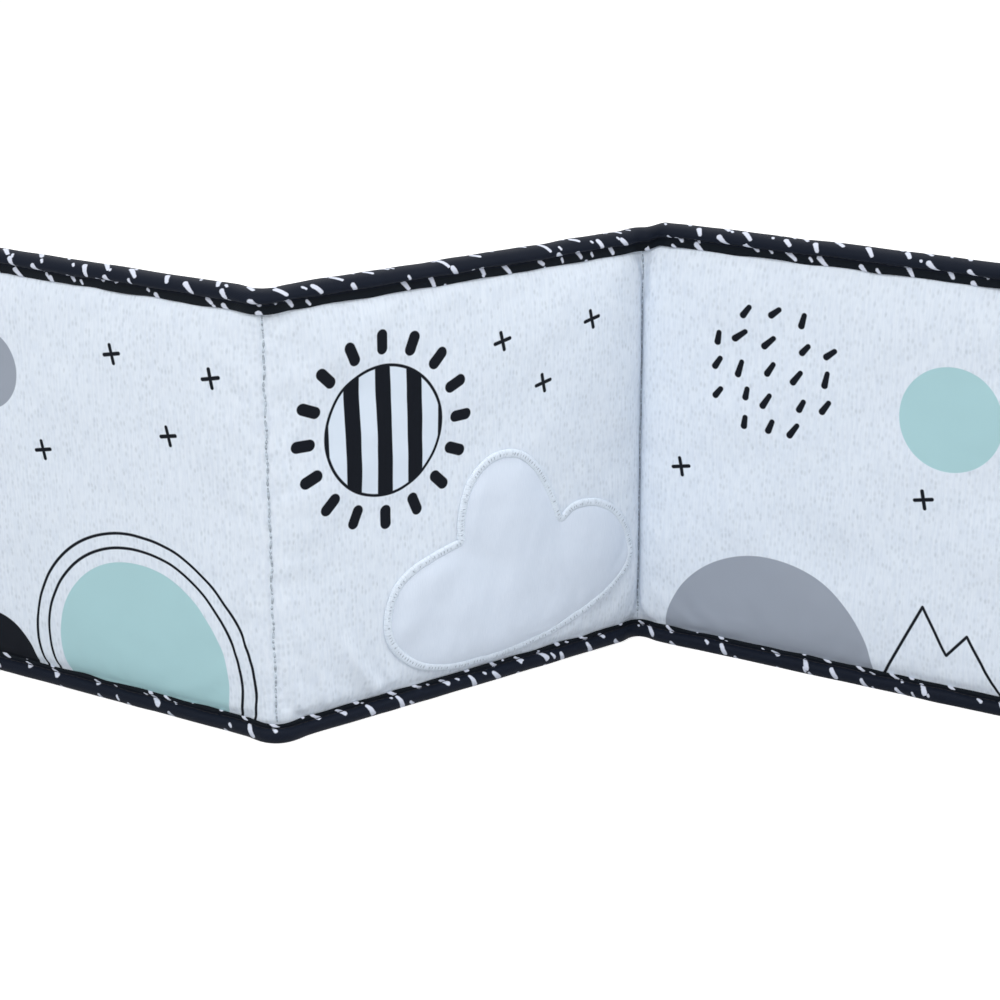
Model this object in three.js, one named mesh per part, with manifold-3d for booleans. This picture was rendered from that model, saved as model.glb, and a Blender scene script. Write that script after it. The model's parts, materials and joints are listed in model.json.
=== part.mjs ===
// A fold-out cloth book of three padded panels that stands in a zigzag.
// Millimetres and degrees, +Z up. The origin is on the floor under the middle of the centre panel,
// +X runs along the zigzag and -Y is the front. Each panel is two cloths with wadding between them,
// pressed flat round the rim and bound in black tape, and the panels turn about stitched folds.

import * as THREE from 'three';
import { mergeVertices } from 'three/addons/utils/BufferGeometryUtils.js';
import Module from 'manifold-3d';

const wasm = await Module();
wasm.setup();

// Panels
const pageHeight = 165; // cloth that shows between the two bindings
const panelWidth = 181.5; // fold to fold; an end panel is as wide with its binding
const standingAngle = 115; // between neighbouring panels as the book stands
const pageThickness = 8.4; // across the wadding
const clothThickness = 0.8;
const hemThickness = 3.4; // both cloths pressed together where the binding grips them
const seamThickness = 0.9; // both cloths where they meet a fold
const pressedBand = 1.2; // the cloths stay pressed this far inside the binding's edge
const edgeReach = 12; // from the binding's edge in to full thickness
const puffReach = 24; // from a fold in to full thickness
const waddingSetback = 14; // wadding stops this far from a fold
const waddingInset = 2; // and this far inside the binding's edge
const cornerRadius = 12; // of the page at an end panel's two outer corners
const clearance = 0.3; // between pieces that touch

// Binding
const bindingHeight = 9.2; // from the page's edge out to the top of the roll
const stripHeight = 4; // flat strip between the page and the line of stitches
const tapeThickness = 1;
const hemTuck = 3.4; // how far the cloths reach into the binding
const waistThickness = 5.4; // at the line of stitches
const rollThickness = 10;
const rollUndercut = 1.7; // from the line of stitches up to the roll's widest level
const stripBevel = 0.4;
const flatDepth = 1.3; // the lower binding is pressed flat where it stands

// Folds
const seamSetback = 2; // the cloths end this far from a fold's axis
const foldReach = 26; // a straight run of binding starts this far from a fold's axis
const bendReach = 12; // the binding's bend ends this far from a fold's axis

// Cloud sewn on the centre page
const cloudWidth = 125;
const cloudHeight = 89.5;
const cloudFoldGap = 6.8; // from its right edge to the right fold's axis
const cloudLift = 1.6; // from the lower binding's strip up to its lowest point
const cloudEdgeThickness = 0.9;
const cloudPuffThickness = 2;
const cloudPuffReach = 10; // from the border in to full puff
const borderWidth = 3.7;
const borderThickness = 1.3;
const taperReach = 30; // the cloud and its border thin out this close to a fold
const taperedShare = 0.45; // of their thickness that is left at the fold
const notchShare = 0.45; // least share of a step inwards that counts at a sharp notch

// Steps that curves are cut into
const rollSteps = 4;
const undercutSteps = 2;
const cornerSteps = 5;
const bendSteps = 10;
const arcSteps = 12;
const beadSides = 12;
const puffGridSpacing = 9;

// Grid lines across the curved rims, as shares of the way from thin to full thickness
const edgeShares = [0, 0.12, 0.3, 0.6, 1];
const puffShares = [0, 0.14, 0.28, 0.41, 0.55, 0.69, 0.84, 1];

// The cloud's outline as arcs: each has a knot and the middle of its arc, as shares of width and height
const cloudArcShares = [
  { knot: [0.19, 0.035], middle: [0.003, 0.285] },
  { knot: [0.063, 0.52], middle: [0.167, 0.592] },
  { knot: [0.289, 0.629], middle: [0.471, 1] },
  { knot: [0.706, 0.634], middle: [0.997, 0.43] },
  { knot: [0.855, 0.123], middle: [0.487, 0] },
];

// Finishes
const finish = {
  pageCloth: { color: 0xd9e5f1, roughness: 0.9, metalness: 0 },
  backCloth: { color: 0xd3dfec, roughness: 0.9, metalness: 0 },
  wadding: { color: 0xf2f3f5, roughness: 1, metalness: 0 },
  blackTape: { color: 0x161922, roughness: 0.75, metalness: 0 },
  satin: { color: 0xd2deed, roughness: 0.45, metalness: 0 },
  satinStitch: { color: 0xe4ebf4, roughness: 0.5, metalness: 0 },
  seamThread: { color: 0xa9b4c0, roughness: 0.8, metalness: 0 },
};

// What follows from the sizes
const panelTurn = THREE.MathUtils.degToRad((180 - standingAngle) / 2);
const pageFoot = bindingHeight - flatDepth;
const pageTop = pageFoot + pageHeight;
const halfWidth = panelWidth / 2;
const hemHalf = hemThickness / 2;
const seamHalf = seamThickness / 2;
const overrun = clothThickness; // how far a blank runs past the outline that trims it

const clampShare = (t) => Math.min(Math.max(t, 0), 1);
const crown = (t) => 1 - (1 - clampShare(t)) ** 2;
const smooth = (t) => clampShare(t) ** 2 * (3 - 2 * clampShare(t));

// Turns every face outwards: a closed mesh whose signed volume is negative has its faces turned round.
function facedOutwards(geometry) {
  const place = geometry.getAttribute('position');
  const index = geometry.index.array;
  const corner = [new THREE.Vector3(), new THREE.Vector3(), new THREE.Vector3()];
  let volume = 0;
  for (let i = 0; i < index.length; i += 3) {
    corner.forEach((c, k) => c.fromBufferAttribute(place, index[i + k]));
    volume += corner[0].dot(corner[1].clone().cross(corner[2]));
  }
  if (volume < 0) {
    for (let i = 0; i < index.length; i += 3) {
      [index[i + 1], index[i + 2]] = [index[i + 2], index[i + 1]];
    }
  }
  return geometry;
}

function geometryFrom(points, faces) {
  const geometry = new THREE.BufferGeometry();
  geometry.setAttribute('position', new THREE.Float32BufferAttribute(points.flat(), 3));
  geometry.setIndex(faces.flat());
  return facedOutwards(geometry);
}

// Booleans
function solid(geometry) {
  const bare = geometry.clone();
  bare.deleteAttribute('normal');
  bare.deleteAttribute('uv');
  const merged = facedOutwards(mergeVertices(bare));
  return new wasm.Manifold(new wasm.Mesh({
    numProp: 3,
    vertProperties: merged.getAttribute('position').array,
    triVerts: new Uint32Array(merged.index.array),
  }));
}

function geometryOf(manifold) {
  const mesh = manifold.getMesh();
  const geometry = new THREE.BufferGeometry();
  geometry.setAttribute('position', new THREE.BufferAttribute(mesh.vertProperties, 3));
  geometry.setIndex(new THREE.BufferAttribute(mesh.triVerts, 1));
  return geometry;
}

// A slab of cloth or filling over the grid of xs and zs, from y = low(x, z) to y = high(x, z).
function slab(xs, zs, low, high) {
  const points = [];
  for (const side of [low, high]) {
    for (const x of xs) for (const z of zs) points.push([x, side(x, z), z]);
  }
  const at = (side, i, k) => side * xs.length * zs.length + i * zs.length + k;
  const faces = [];
  const quad = (a, b, c, d) => faces.push([a, b, c], [a, c, d]);
  for (let i = 0; i + 1 < xs.length; i++) {
    for (let k = 0; k + 1 < zs.length; k++) {
      quad(at(0, i, k), at(0, i + 1, k), at(0, i + 1, k + 1), at(0, i, k + 1));
      quad(at(1, i, k), at(1, i, k + 1), at(1, i + 1, k + 1), at(1, i + 1, k));
    }
  }
  const lastX = xs.length - 1;
  const lastZ = zs.length - 1;
  for (let i = 0; i < lastX; i++) {
    quad(at(0, i, 0), at(1, i, 0), at(1, i + 1, 0), at(0, i + 1, 0));
    quad(at(0, i, lastZ), at(0, i + 1, lastZ), at(1, i + 1, lastZ), at(1, i, lastZ));
  }
  for (let k = 0; k < lastZ; k++) {
    quad(at(0, 0, k), at(0, 0, k + 1), at(1, 0, k + 1), at(1, 0, k));
    quad(at(0, lastX, k), at(1, lastX, k), at(1, lastX, k + 1), at(0, lastX, k + 1));
  }
  return geometryFrom(points, faces);
}

// A prism that an outline in x and z trims a slab with, thick enough to pass through any panel.
function cutter(outline) {
  const depth = rollThickness * 2;
  const prism = new THREE.ExtrudeGeometry(outline, { depth, bevelEnabled: false, curveSegments: cornerSteps });
  prism.rotateX(Math.PI / 2); // the outline's y becomes z, and the depth runs towards -y
  prism.translate(0, depth / 2, 0);
  return solid(prism);
}

// A closed section carried through stations, each of which places (offset, rise) in space.
function sweep(section, stations) {
  const points = stations.flatMap((station) => section.map((p) => station(p.x, p.y)));
  const faces = [];
  const around = section.length;
  for (let s = 0; s + 1 < stations.length; s++) {
    for (let i = 0; i < around; i++) {
      const j = (i + 1) % around;
      const [a, b] = [s * around + i, s * around + j];
      faces.push([a, b, b + around], [a, b + around, a + around]);
    }
  }
  const last = (stations.length - 1) * around;
  for (const [a, b, c] of THREE.ShapeUtils.triangulateShape(section, [])) {
    faces.push([a, c, b], [last + a, last + b, last + c]);
  }
  return geometryFrom(points, faces);
}

// Panels: where each lies along its own x, and which of its sides are folds.
const panels = {
  left: { from: -panelWidth, to: 0, foldAt: [0], boundAt: [-panelWidth] },
  centre: { from: -halfWidth, to: halfWidth, foldAt: [-halfWidth, halfWidth], boundAt: [] },
  right: { from: 0, to: panelWidth, foldAt: [0], boundAt: [panelWidth] },
};

const fromFold = (panel, x) => Math.min(...panel.foldAt.map((fold) => Math.abs(x - fold)));

// How far a point lies inside the binding's edge, which is round at an end panel's outer corners.
function fromRim(panel, x, z) {
  const up = Math.min(z - pageFoot, pageTop - z);
  const [end] = panel.boundAt;
  if (end === undefined) return up;
  const along = Math.abs(x - end) - bindingHeight;
  if (up >= cornerRadius || along >= cornerRadius) return Math.min(up, along);
  return cornerRadius - Math.hypot(cornerRadius - up, cornerRadius - along);
}

// Half the page's thickness: pressed to the hem round the rim, drawn in to the seam at a fold.
function halfThickness(panel, x, z) {
  const rise = crown((fromRim(panel, x, z) - pressedBand) / (edgeReach - pressedBand));
  const full = hemHalf + (pageThickness / 2 - hemHalf) * rise;
  const drawnIn = smooth((fromFold(panel, x) - seamSetback) / (puffReach - seamSetback));
  return seamHalf + (full - seamHalf) * drawnIn;
}
const innerFace = (panel, x, z) =>
  Math.max(halfThickness(panel, x, z) - clothThickness, clearance / 2);

// Grid lines that follow the page's curved rims.
const rimInsets = [0, ...edgeShares.map((share) => pressedBand + share * (edgeReach - pressedBand))];
function pageLinesX(panel, firstFromFold, firstFromEdge) {
  const lines = [];
  for (const fold of panel.foldAt) {
    const inwards = Math.sign((panel.from + panel.to) / 2 - fold);
    lines.push(fold + inwards * firstFromFold);
    for (const share of puffShares) {
      const s = seamSetback + share * (puffReach - seamSetback);
      if (s > firstFromFold) lines.push(fold + inwards * s);
    }
  }
  for (const end of panel.boundAt) {
    const inwards = Math.sign((panel.from + panel.to) / 2 - end);
    lines.push(end + inwards * (bindingHeight + firstFromEdge));
    for (const d of rimInsets) {
      if (d > firstFromEdge) lines.push(end + inwards * (bindingHeight + d));
    }
  }
  return lines.sort((a, b) => a - b);
}
function pageLinesZ(firstFromEdge) {
  const insets = [firstFromEdge, ...rimInsets.filter((d) => d > firstFromEdge)];
  const low = insets.map((d) => pageFoot + d);
  const high = insets.map((d) => pageTop - d);
  return [...low, ...high].sort((a, b) => a - b);
}

// The outline of a page's cloth: it tucks into the binding, except beside a fold, where it stops short.
function clothOutline(panel) {
  const outline = new THREE.Shape();
  const hemTop = pageTop + hemTuck;
  const hemFoot = pageFoot - hemTuck;
  const radius = cornerRadius + hemTuck;
  const roundTop = pageTop - cornerRadius;
  const roundFoot = pageFoot + cornerRadius;
  if (panel.boundAt.includes(panel.from)) {
    const pivot = panel.from + bindingHeight + cornerRadius;
    outline.moveTo(pivot, hemFoot);
    outline.absarc(pivot, roundFoot, radius, -Math.PI / 2, -Math.PI, true);
    outline.absarc(pivot, roundTop, radius, Math.PI, Math.PI / 2, true);
  } else {
    outline.moveTo(panel.from + foldReach, hemFoot);
    outline.lineTo(panel.from + foldReach, pageFoot + clearance);
    outline.lineTo(panel.from + seamSetback, pageFoot + clearance);
    outline.lineTo(panel.from + seamSetback, pageTop - clearance);
    outline.lineTo(panel.from + foldReach, pageTop - clearance);
    outline.lineTo(panel.from + foldReach, hemTop);
  }
  if (panel.boundAt.includes(panel.to)) {
    const pivot = panel.to - bindingHeight - cornerRadius;
    outline.lineTo(pivot, hemTop);
    outline.absarc(pivot, roundTop, radius, Math.PI / 2, 0, true);
    outline.absarc(pivot, roundFoot, radius, 0, -Math.PI / 2, true);
  } else {
    outline.lineTo(panel.to - foldReach, hemTop);
    outline.lineTo(panel.to - foldReach, pageTop - clearance);
    outline.lineTo(panel.to - seamSetback, pageTop - clearance);
    outline.lineTo(panel.to - seamSetback, pageFoot + clearance);
    outline.lineTo(panel.to - foldReach, pageFoot + clearance);
    outline.lineTo(panel.to - foldReach, hemFoot);
  }
  outline.closePath();
  return outline;
}

function coverGeometry(panel, facing) {
  const xs = pageLinesX(panel, seamSetback - overrun, -hemTuck - overrun);
  const zs = pageLinesZ(-hemTuck - overrun);
  const inner = (x, z) => facing * innerFace(panel, x, z);
  const outer = (x, z) => facing * halfThickness(panel, x, z);
  const blank = facing < 0 ? slab(xs, zs, outer, inner) : slab(xs, zs, inner, outer);
  return geometryOf(solid(blank).intersect(cutter(clothOutline(panel))));
}

function waddingGeometry(panel) {
  const xs = pageLinesX(panel, waddingSetback, waddingInset);
  const zs = pageLinesZ(waddingInset);
  const half = (x, z) => innerFace(panel, x, z) - clearance;
  return slab(xs, zs, (x, z) => -half(x, z), half);
}

// The binding's section: x is the offset from the panel's middle plane and y the rise from the page's
// edge. A strip grips the cloths, a line of stitches draws it in to the waist, and a roll tops it.
function bindingSection(slotted) {
  const stripHalf = hemHalf + clearance + tapeThickness;
  const waistHalf = waistThickness / 2;
  const rollHalf = rollThickness / 2;
  const widest = stripHeight + rollUndercut;
  const side = [
    [stripHalf - stripBevel, 0],
    [stripHalf, stripBevel],
    [stripHalf, stripHeight - stripBevel],
  ];
  for (let i = 0; i < undercutSteps; i++) {
    const turn = (i / undercutSteps) * (Math.PI / 2);
    side.push([waistHalf + (rollHalf - waistHalf) * Math.sin(turn), widest - rollUndercut * Math.cos(turn)]);
  }
  for (let i = 0; i < rollSteps; i++) {
    const turn = (i / rollSteps) * (Math.PI / 2);
    side.push([rollHalf * Math.cos(turn), widest + (bindingHeight - widest) * Math.sin(turn)]);
  }
  const section = side.map(([x, y]) => new THREE.Vector2(x, y));
  section.push(new THREE.Vector2(0, bindingHeight));
  section.push(...side.map(([x, y]) => new THREE.Vector2(-x, y)).reverse());
  if (slotted) {
    const slotHalf = hemHalf + clearance;
    const slotDepth = hemTuck + clearance;
    section.push(
      new THREE.Vector2(-slotHalf, 0),
      new THREE.Vector2(-slotHalf, slotDepth),
      new THREE.Vector2(slotHalf, slotDepth),
      new THREE.Vector2(slotHalf, 0),
    );
  }
  return section;
}
const onFloor = (z) => Math.max(z, 0); // the weight of the book presses the lower roll flat

// The height that a rise from the page's upper or lower edge comes to.
const levels = {
  top: (rise) => pageTop + rise,
  bottom: (rise) => onFloor(pageFoot - rise),
};

function straightBindingGeometry(panel, level) {
  const run = [panel.from, panel.to].map((end) => {
    const inwards = Math.sign((panel.from + panel.to) / 2 - end);
    const setback = panel.foldAt.includes(end) ? foldReach : bindingHeight + cornerRadius;
    return end + inwards * setback;
  });
  return sweep(bindingSection(true), run.map((x) => (offset, rise) => [x, offset, level(rise)]));
}

// Round an end panel's two corners and up its outer side, in one piece.
function endBindingGeometry(panel) {
  const [end] = panel.boundAt;
  const outwards = Math.sign(end - (panel.from + panel.to) / 2);
  const pivotX = end - outwards * (bindingHeight + cornerRadius);
  const quarterFrom = (pivotZ, start) => Array.from(
    { length: cornerSteps + 1 },
    (_, i) => ({ pivotZ, turn: start - (i / cornerSteps) * (Math.PI / 2) }),
  );
  const bends = [
    ...quarterFrom(pageTop - cornerRadius, Math.PI / 2),
    ...quarterFrom(pageFoot + cornerRadius, 0),
  ];
  const stations = bends.map(({ pivotZ, turn }, i) => {
    const meetsRun = i === 0 || i === bends.length - 1;
    const gap = meetsRun ? clearance : 0;
    return (offset, rise) => [
      pivotX + outwards * ((cornerRadius + rise) * Math.cos(turn) + gap),
      offset,
      onFloor(pivotZ + (cornerRadius + rise) * Math.sin(turn)),
    ];
  });
  return sweep(bindingSection(true), stations);
}

// Round a fold, about the fold's own axis: a point that lies s along the binding and offset to one
// side of it is turned about the axis by an angle that goes smoothly from one panel's to the other's.
function foldBindingGeometry(turnBefore, turnAfter, level) {
  const reach = foldReach - clearance;
  const alongs = [-reach];
  for (let i = 0; i <= bendSteps; i++) alongs.push(bendReach * ((2 * i) / bendSteps - 1));
  alongs.push(reach);
  const stations = alongs.map((s) => {
    const turn = turnBefore + (turnAfter - turnBefore) * smooth((s + bendReach) / (2 * bendReach));
    return (offset, rise) => [
      s * Math.cos(turn) - offset * Math.sin(turn),
      s * Math.sin(turn) + offset * Math.cos(turn),
      level(rise),
    ];
  });
  return sweep(bindingSection(false), stations);
}

// The cloths' edges, felled into a bead along the fold's axis.
function foldSeamGeometry() {
  const radius = seamSetback - clearance;
  const bead = new THREE.CylinderGeometry(radius, radius, pageHeight - 2 * clearance, beadSides);
  bead.rotateX(Math.PI / 2);
  return bead;
}

// Points on the arc that leaves start, passes middle and arrives at end, without end itself.
function arcThrough(start, middle, end) {
  const [a, b] = [middle.clone().sub(start), end.clone().sub(start)];
  const twice = 2 * a.cross(b);
  const pivot = new THREE.Vector2(
    (b.y * a.lengthSq() - a.y * b.lengthSq()) / twice,
    (a.x * b.lengthSq() - b.x * a.lengthSq()) / twice,
  );
  const radius = pivot.length();
  pivot.add(start);
  const angle = (p) => Math.atan2(p.y - pivot.y, p.x - pivot.x);
  const clockwise = twice < 0 ? -1 : 1;
  const wrap = (turn) => ((turn * clockwise) % (2 * Math.PI) + 2 * Math.PI) % (2 * Math.PI);
  const sweepTurn = wrap(angle(end) - angle(start));
  return Array.from({ length: arcSteps }, (_, i) => {
    const turn = angle(start) + (clockwise * sweepTurn * i) / arcSteps;
    return new THREE.Vector2(pivot.x + radius * Math.cos(turn), pivot.y + radius * Math.sin(turn));
  });
}

// The cloud's outline in the centre panel's x and z, clockwise.
function cloudOutline() {
  const left = panels.centre.to - cloudFoldGap - cloudWidth;
  const place = ([across, up]) =>
    new THREE.Vector2(left + across * cloudWidth, pageFoot + cloudLift + up * cloudHeight);
  return cloudArcShares.flatMap(({ knot, middle }, i) => {
    const next = cloudArcShares[(i + 1) % cloudArcShares.length].knot;
    return arcThrough(place(knot), place(middle), place(next));
  });
}

// A clockwise outline moved inwards by a distance, along the bisector at each point.
function inset(outline, distance) {
  return outline.map((p, i) => {
    const before = outline[(i + outline.length - 1) % outline.length];
    const after = outline[(i + 1) % outline.length];
    const arrive = p.clone().sub(before).normalize();
    const leave = after.clone().sub(p).normalize();
    const normal = new THREE.Vector2(arrive.y + leave.y, -arrive.x - leave.x).normalize();
    const reach = distance / Math.max(normal.dot(new THREE.Vector2(arrive.y, -arrive.x)), notchShare);
    return p.clone().addScaledVector(normal, reach);
  });
}

// A piece sewn on the centre page's front: it lies on the cloth and is as thick as thickness(x, z).
function appliedGeometry(outline, hole, thickness) {
  const box = new THREE.Box2().setFromPoints(outline);
  const grid = (low, high) => {
    const count = Math.ceil((high - low) / puffGridSpacing);
    return Array.from({ length: count + 1 }, (_, i) => low + ((high - low) * i) / count);
  };
  const flatFrom = panels.centre.to - puffReach;
  const xs = [
    ...grid(box.min.x - overrun, flatFrom),
    ...pageLinesX(panels.centre, seamSetback, 0).filter((x) => x > flatFrom + overrun && x < box.max.x),
    box.max.x + overrun,
  ];
  const flatAbove = pageFoot + edgeReach;
  const zs = [
    box.min.y - overrun,
    ...pageLinesZ(0).filter((z) => z > box.min.y && z < flatAbove - overrun),
    ...grid(flatAbove, box.max.y + overrun),
  ];
  const under = (x, z) => -halfThickness(panels.centre, x, z) - clearance;
  const taper = (x) =>
    taperedShare + (1 - taperedShare) * smooth(fromFold(panels.centre, x) / taperReach);
  const blank = slab(xs, zs, (x, z) => under(x, z) - taper(x) * thickness(x, z), under);
  const shape = new THREE.Shape(outline);
  if (hole) shape.holes.push(new THREE.Path([...hole].reverse()));
  return geometryOf(solid(blank).intersect(cutter(shape)));
}

const edgeOfCloud = cloudOutline();
const insideOfBorder = inset(edgeOfCloud, borderWidth);
const edgeOfPatch = inset(edgeOfCloud, borderWidth + clearance);

function cloudPatchGeometry() {
  const spot = new THREE.Vector2();
  return appliedGeometry(edgeOfPatch, null, (x, z) => {
    spot.set(x, z);
    const fromBorder = Math.min(...edgeOfPatch.map((p) => p.distanceTo(spot)));
    const puff = cloudPuffThickness - cloudEdgeThickness;
    return cloudEdgeThickness + puff * crown(fromBorder / cloudPuffReach);
  });
}

function cloudBorderGeometry() {
  return appliedGeometry(edgeOfCloud, insideOfBorder, () => borderThickness);
}

// The scene graph
function piece(name, geometry, kind) {
  const mesh = new THREE.Mesh(geometry, new THREE.MeshStandardMaterial(finish[kind]));
  mesh.name = name;
  return mesh;
}

function panelGroup(side) {
  const panel = panels[side];
  const group = new THREE.Group();
  group.add(
    piece(`${side}_front_cover`, coverGeometry(panel, -1), 'pageCloth'),
    piece(`${side}_back_cover`, coverGeometry(panel, 1), 'backCloth'),
    piece(`${side}_wadding`, waddingGeometry(panel), 'wadding'),
    piece(`${side}_top_binding`, straightBindingGeometry(panel, levels.top), 'blackTape'),
    piece(`${side}_bottom_binding`, straightBindingGeometry(panel, levels.bottom), 'blackTape'),
  );
  if (panel.boundAt.length) group.add(piece(`${side}_end_binding`, endBindingGeometry(panel), 'blackTape'));
  return group;
}

// What stays at a fold: the stitched seam, and the binding's two bends round it.
function foldGroup(side, turnBefore, turnAfter) {
  const group = new THREE.Group();
  const seam = piece(`${side}_fold_seam`, foldSeamGeometry(), 'seamThread');
  seam.position.z = (pageFoot + pageTop) / 2;
  group.add(seam);
  for (const [where, level] of Object.entries(levels)) {
    const bend = foldBindingGeometry(turnBefore, turnAfter, level);
    group.add(piece(`${side}_fold_${where}_binding`, bend, 'blackTape'));
  }
  return group;
}

const book = new THREE.Group();
const leftFold = [-halfWidth * Math.cos(panelTurn), -halfWidth * Math.sin(panelTurn), 0];
const rightFold = leftFold.map((v) => -v);

const centre = panelGroup('centre');
centre.rotation.z = panelTurn;
centre.add(
  piece('cloud_patch', cloudPatchGeometry(), 'satin'),
  piece('cloud_border', cloudBorderGeometry(), 'satinStitch'),
);
book.add(centre);

for (const [side, at, turnBefore, turnAfter] of [
  ['left', leftFold, -panelTurn, panelTurn],
  ['right', rightFold, panelTurn, -panelTurn],
]) {
  const panel = panelGroup(side);
  panel.position.set(...at);
  panel.rotation.z = -panelTurn;
  const fold = foldGroup(side, turnBefore, turnAfter);
  fold.position.set(...at);
  book.add(panel, fold);
}

export default book;
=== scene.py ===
# %% [markdown]
# # Dressing a fold-out cloth book
# The book is a zigzag of three padded pages. Each page is two cloths with wadding between them, bound
# all round in a black tape that is rolled over a filling. The construction is already fixed: it is
# loaded first, and every soft piece made here takes its place and size from it.

# %% Load the fixed model
import json
import math

import bpy
import numpy as np
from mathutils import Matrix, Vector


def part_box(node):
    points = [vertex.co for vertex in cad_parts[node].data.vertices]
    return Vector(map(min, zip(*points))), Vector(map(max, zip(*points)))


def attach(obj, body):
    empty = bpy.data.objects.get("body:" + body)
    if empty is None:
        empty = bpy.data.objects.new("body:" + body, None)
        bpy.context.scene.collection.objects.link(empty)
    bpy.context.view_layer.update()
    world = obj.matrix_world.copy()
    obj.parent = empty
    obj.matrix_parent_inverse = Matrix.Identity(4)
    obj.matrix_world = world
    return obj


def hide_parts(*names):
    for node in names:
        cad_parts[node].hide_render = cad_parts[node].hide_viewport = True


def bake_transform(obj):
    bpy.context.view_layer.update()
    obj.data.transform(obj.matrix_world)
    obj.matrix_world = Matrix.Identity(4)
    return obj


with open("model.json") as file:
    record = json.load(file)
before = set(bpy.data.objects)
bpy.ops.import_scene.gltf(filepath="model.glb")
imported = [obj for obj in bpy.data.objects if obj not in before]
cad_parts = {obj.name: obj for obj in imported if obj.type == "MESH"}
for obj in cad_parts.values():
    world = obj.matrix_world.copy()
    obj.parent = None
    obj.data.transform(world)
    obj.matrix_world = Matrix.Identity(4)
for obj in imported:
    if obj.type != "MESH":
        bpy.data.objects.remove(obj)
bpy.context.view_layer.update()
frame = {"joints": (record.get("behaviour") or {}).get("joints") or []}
MM = 0.001  # Blender works in metres, sewing in millimetres

# %% Measure the pages
clearance = 0.3  # mm that the model leaves between a soft piece and the binding
right_fold = next(joint for joint in frame["joints"] if joint["name"] == "right_fold")
fold_x, fold_y = (place / MM for place in right_fold["pos_m"][:2])
half_page = math.hypot(fold_x, fold_y)  # from the book's middle to a fold, along the page
page_turn = math.atan2(fold_y, fold_x)  # the centre page is turned this far from +X
page_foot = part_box("left_fold_seam")[0].z / MM - clearance
page_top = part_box("left_fold_seam")[1].z / MM + clearance
binding_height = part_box("centre_top_binding")[1].z / MM - page_top
book_end = 3 * half_page  # the binding's outer edge, along the book
corner_radius = 12  # of a page's outer corners
print(f"page: {2 * half_page:.1f} mm wide, from {page_foot:.1f} to {page_top:.1f} mm high")
print(f"binding: {binding_height:.1f} mm high")

# %% [markdown]
# ## Book coordinates
# A folded strip of cloth is awkward to model in space and easy to model flat. So every piece is drawn
# flat, with s along the book, y behind the middle layer and z up, and one function folds it into the
# zigzag. It turns each point about the nearest fold's own axis, as the hinge does, and eases from one
# page's angle to the next. Cloth creases sharply there, the thick binding goes round in a bend.

# %% An easing curve
def smooth(t):
    """3t^2 - 2t^3 between 0 and 1: it leaves level and arrives level."""
    t = np.clip(t, 0, 1)
    return t * t * (3 - 2 * t)


print("eased in five steps:", smooth(np.linspace(0, 1, 5)))

# %% Fold the flat book into its zigzag
valley_sag = 1.8  # the centre page's top edge hangs this much lower at the right fold
right_lift = 1.5  # and the right page's top edge stands this much higher
valley_shift = 1.4  # the foot of that fold stands this much to the left
valley_lean = 1  # and its top this much more
valley_reach = 60  # mm along the book over which that dies away
lift_reach = 10  # mm past the fold over which the top edge steps up
crease_bend = 1.5  # cloth turns within this distance of a fold
binding_bend = 12  # and the thick binding within this one
crease_spread = 5  # beside the binding the crease opens out to the binding's bend, over this distance


def top_edge_shift(s):
    """How far a hand-sewn top edge is off level: it falls along the centre page and steps up after it."""
    fall = valley_sag * np.clip((s + half_page) / (2 * half_page), 0, 1)
    return (valley_sag + right_lift) * smooth((s - half_page) / lift_reach) - fall


def book(s, y, z, bend):
    """Place in space of a point of the flat book: turned about its fold's axis, by an angle that goes
    smoothly from one page's to the next one's within bend of the fold, then shifted with the top edge
    and with the valley, both of which are a little off true."""
    side = np.where(s < 0, -1, 1)
    past = s - side * half_page
    turn = side * page_turn * (1 - 2 * smooth((past + bend) / (2 * bend)))
    share = np.clip((z - page_foot) / (page_top - page_foot), 0, 1)
    aside = (valley_shift + valley_lean * share) * np.exp(-(((s - half_page) / valley_reach) ** 2))
    x = side * fold_x + past * np.cos(turn) - y * np.sin(turn) - aside
    depth = side * fold_y + past * np.sin(turn) + y * np.cos(turn)
    return np.stack(np.broadcast_arrays(x, depth, z + top_edge_shift(s) * share**2), axis=-1)


def on_page(s, y, z):
    """Place in space of a point of a page: the crease is sharp, but opens out towards the binding."""
    inside = np.maximum(np.minimum(z - page_foot, page_top - z), 0)
    return book(s, y, z, crease_bend + (binding_bend - crease_bend) * np.exp(-inside / crease_spread))


print("right fold at", np.round(book(half_page, 0, page_top, binding_bend), 1))

# %% [markdown]
# ## From a grid to a mesh
# Each surface is worked out as whole arrays of points. Two patterns of faces are enough for all of
# them: a shell between two grids, for cloth and pads, and a closed section carried through stations,
# for tape, cord-like stitches and the border. A mesh whose faces come out inside out is turned round.

# %% Faces of a shell and of a carried section
def grid_squares(point):
    """The squares between a grid's rows and columns, from the grid of its points' numbers."""
    return np.stack([point[:-1, :-1], point[1:, :-1], point[1:, 1:], point[:-1, 1:]], -1).reshape(-1, 4)


def shell_faces(rows, columns):
    """Squares of an outer and an inner grid, numbered row by row, and the wall that joins their edges."""
    outer = np.arange(rows * columns).reshape(rows, columns)
    squares = grid_squares(outer)
    edge = np.concatenate([outer[:-1, 0], outer[-1, :-1], outer[:0:-1, -1], outer[0, :0:-1]])
    ahead = np.roll(edge, -1)
    wall = np.stack([ahead, edge, edge + outer.size, ahead + outer.size], -1)
    return np.concatenate([squares, squares[:, ::-1] + outer.size, wall]).tolist()


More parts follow.
